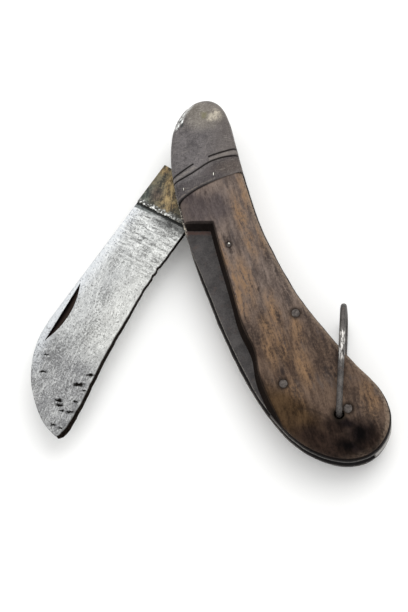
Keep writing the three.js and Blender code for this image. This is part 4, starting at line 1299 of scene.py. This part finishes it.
half_path = bail_path()
path = evenly(np.vstack([half_path, half_path[-2::-1] * (1, -1)]), 420)
tangent = unit(np.gradient(path, axis=0))
turn = np.linspace(0.0, 2 * np.pi, 40, endpoint=False)
walk = np.linspace(0.0, WIRE_WALK, len(path))[:, None]
uneven = ripple(walk * (1.0, 0.0), *WIRE_UNEVEN, 51)[:, None] - WIRE_OVAL * np.cos(2 * turn)
radius = WIRE_RADIUS * (WIRE_WORN + uneven)
bail_grid = np.stack([
    path[:, :1] - tangent[:, 1:] * radius * np.cos(turn),
    np.broadcast_to(radius * np.sin(turn), (len(path), len(turn))),
    path[:, 1:] + tangent[:, :1] * radius * np.cos(turn),
], axis=-1)
ends = np.stack([path[:, 0], 0.0 * path[:, 0], path[:, 1]], axis=-1)[:, None] + np.zeros((1, len(turn), 1))
bail_grid = np.concatenate([ends[:1], bail_grid, ends[-1:]])
bail = shell("bail", swung(bail_grid, BAIL_SHOWN, BAIL_HOLE), crease=60.0)
fitted(bail, wire_finish(), "bail_wire", "bail", "bail")

# Floor, light and camera.
# A white sheet under the knife, one large soft lamp above and to the right, pale light all round,
# and the camera of the photograph, a little below the knife's middle and nearly overhead.

FLOOR_HEIGHT = -0.0027
FLOOR_SIZE = 6.0
LAMP = ((0.20, 0.34, 0.72), 0.70, 3.2)
AROUND = 1.0
CAMERA_AIM = (0.0020, -0.0560, 0.0073)
CAMERA_DISTANCE = 0.5
CAMERA_TILT = 19.8844
CAMERA_ASIDE = 6.7515
CAMERA_LENS = 97.39

corner = np.array([(-1.0, -1.0), (1.0, -1.0), (1.0, 1.0), (-1.0, 1.0)]) * FLOOR_SIZE / 2
floor_mesh = bpy.data.meshes.new("floor")
floor_mesh.from_pydata(at_height(corner, FLOOR_HEIGHT).tolist(), [], [(0, 1, 2, 3)])
floor = added("floor", floor_mesh)
floor_white = bpy.data.materials.new("floor_white")
floor_white.use_nodes = True
coat(floor_white.node_tree.nodes["Principled BSDF"], (0.94, 0.94, 0.93, 1.0), 0.9, 0.0)
floor_mesh.materials.append(floor_white)
floor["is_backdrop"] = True

scene = bpy.context.scene
scene.view_settings.view_transform = "Standard"
world = bpy.data.worlds.new("studio")
world.use_nodes = True
world.node_tree.nodes["Background"].inputs["Color"].default_value = (1.0, 1.0, 1.0, 1.0)
world.node_tree.nodes["Background"].inputs["Strength"].default_value = AROUND
scene.world = world

centre = np.array(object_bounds()).mean(axis=0)


def axes_to(place, right, up, back):
    """A 4 by 4 matrix with the axes as its columns and the place as its last one."""
    rows = np.eye(4)
    rows[:3] = np.stack([right, up, back, place], axis=1)
    return Matrix(rows.tolist())


def lamp(name, place, size, power):
    """A square lamp that faces the knife; its back axis points from the knife to it."""
    light = bpy.data.lights.new(name, "AREA")
    light.size = size
    light.energy = power
    back = unit(np.array(place) - centre)
    right = unit(np.cross((0.0, 1.0, 0.0), back))
    added(name, light).matrix_world = axes_to(place, right, np.cross(back, right), back)


lamp("key_lamp", *LAMP)
camera = bpy.data.cameras.new("camera")
camera.sensor_width = 36.0
camera.lens = CAMERA_LENS
camera.clip_start = 0.01
shown_camera = added("camera", camera)
tilt, aside = math.radians(CAMERA_TILT), math.radians(CAMERA_ASIDE)
up = np.array((0.0, math.cos(tilt), math.sin(tilt)))
back = math.cos(aside) * np.array((0.0, -math.sin(tilt), math.cos(tilt))) + (math.sin(aside), 0.0, 0.0)
camera_place = CAMERA_AIM + CAMERA_DISTANCE * back
shown_camera.matrix_world = axes_to(camera_place, np.cross(up, back), up, back)
scene.camera = shown_camera
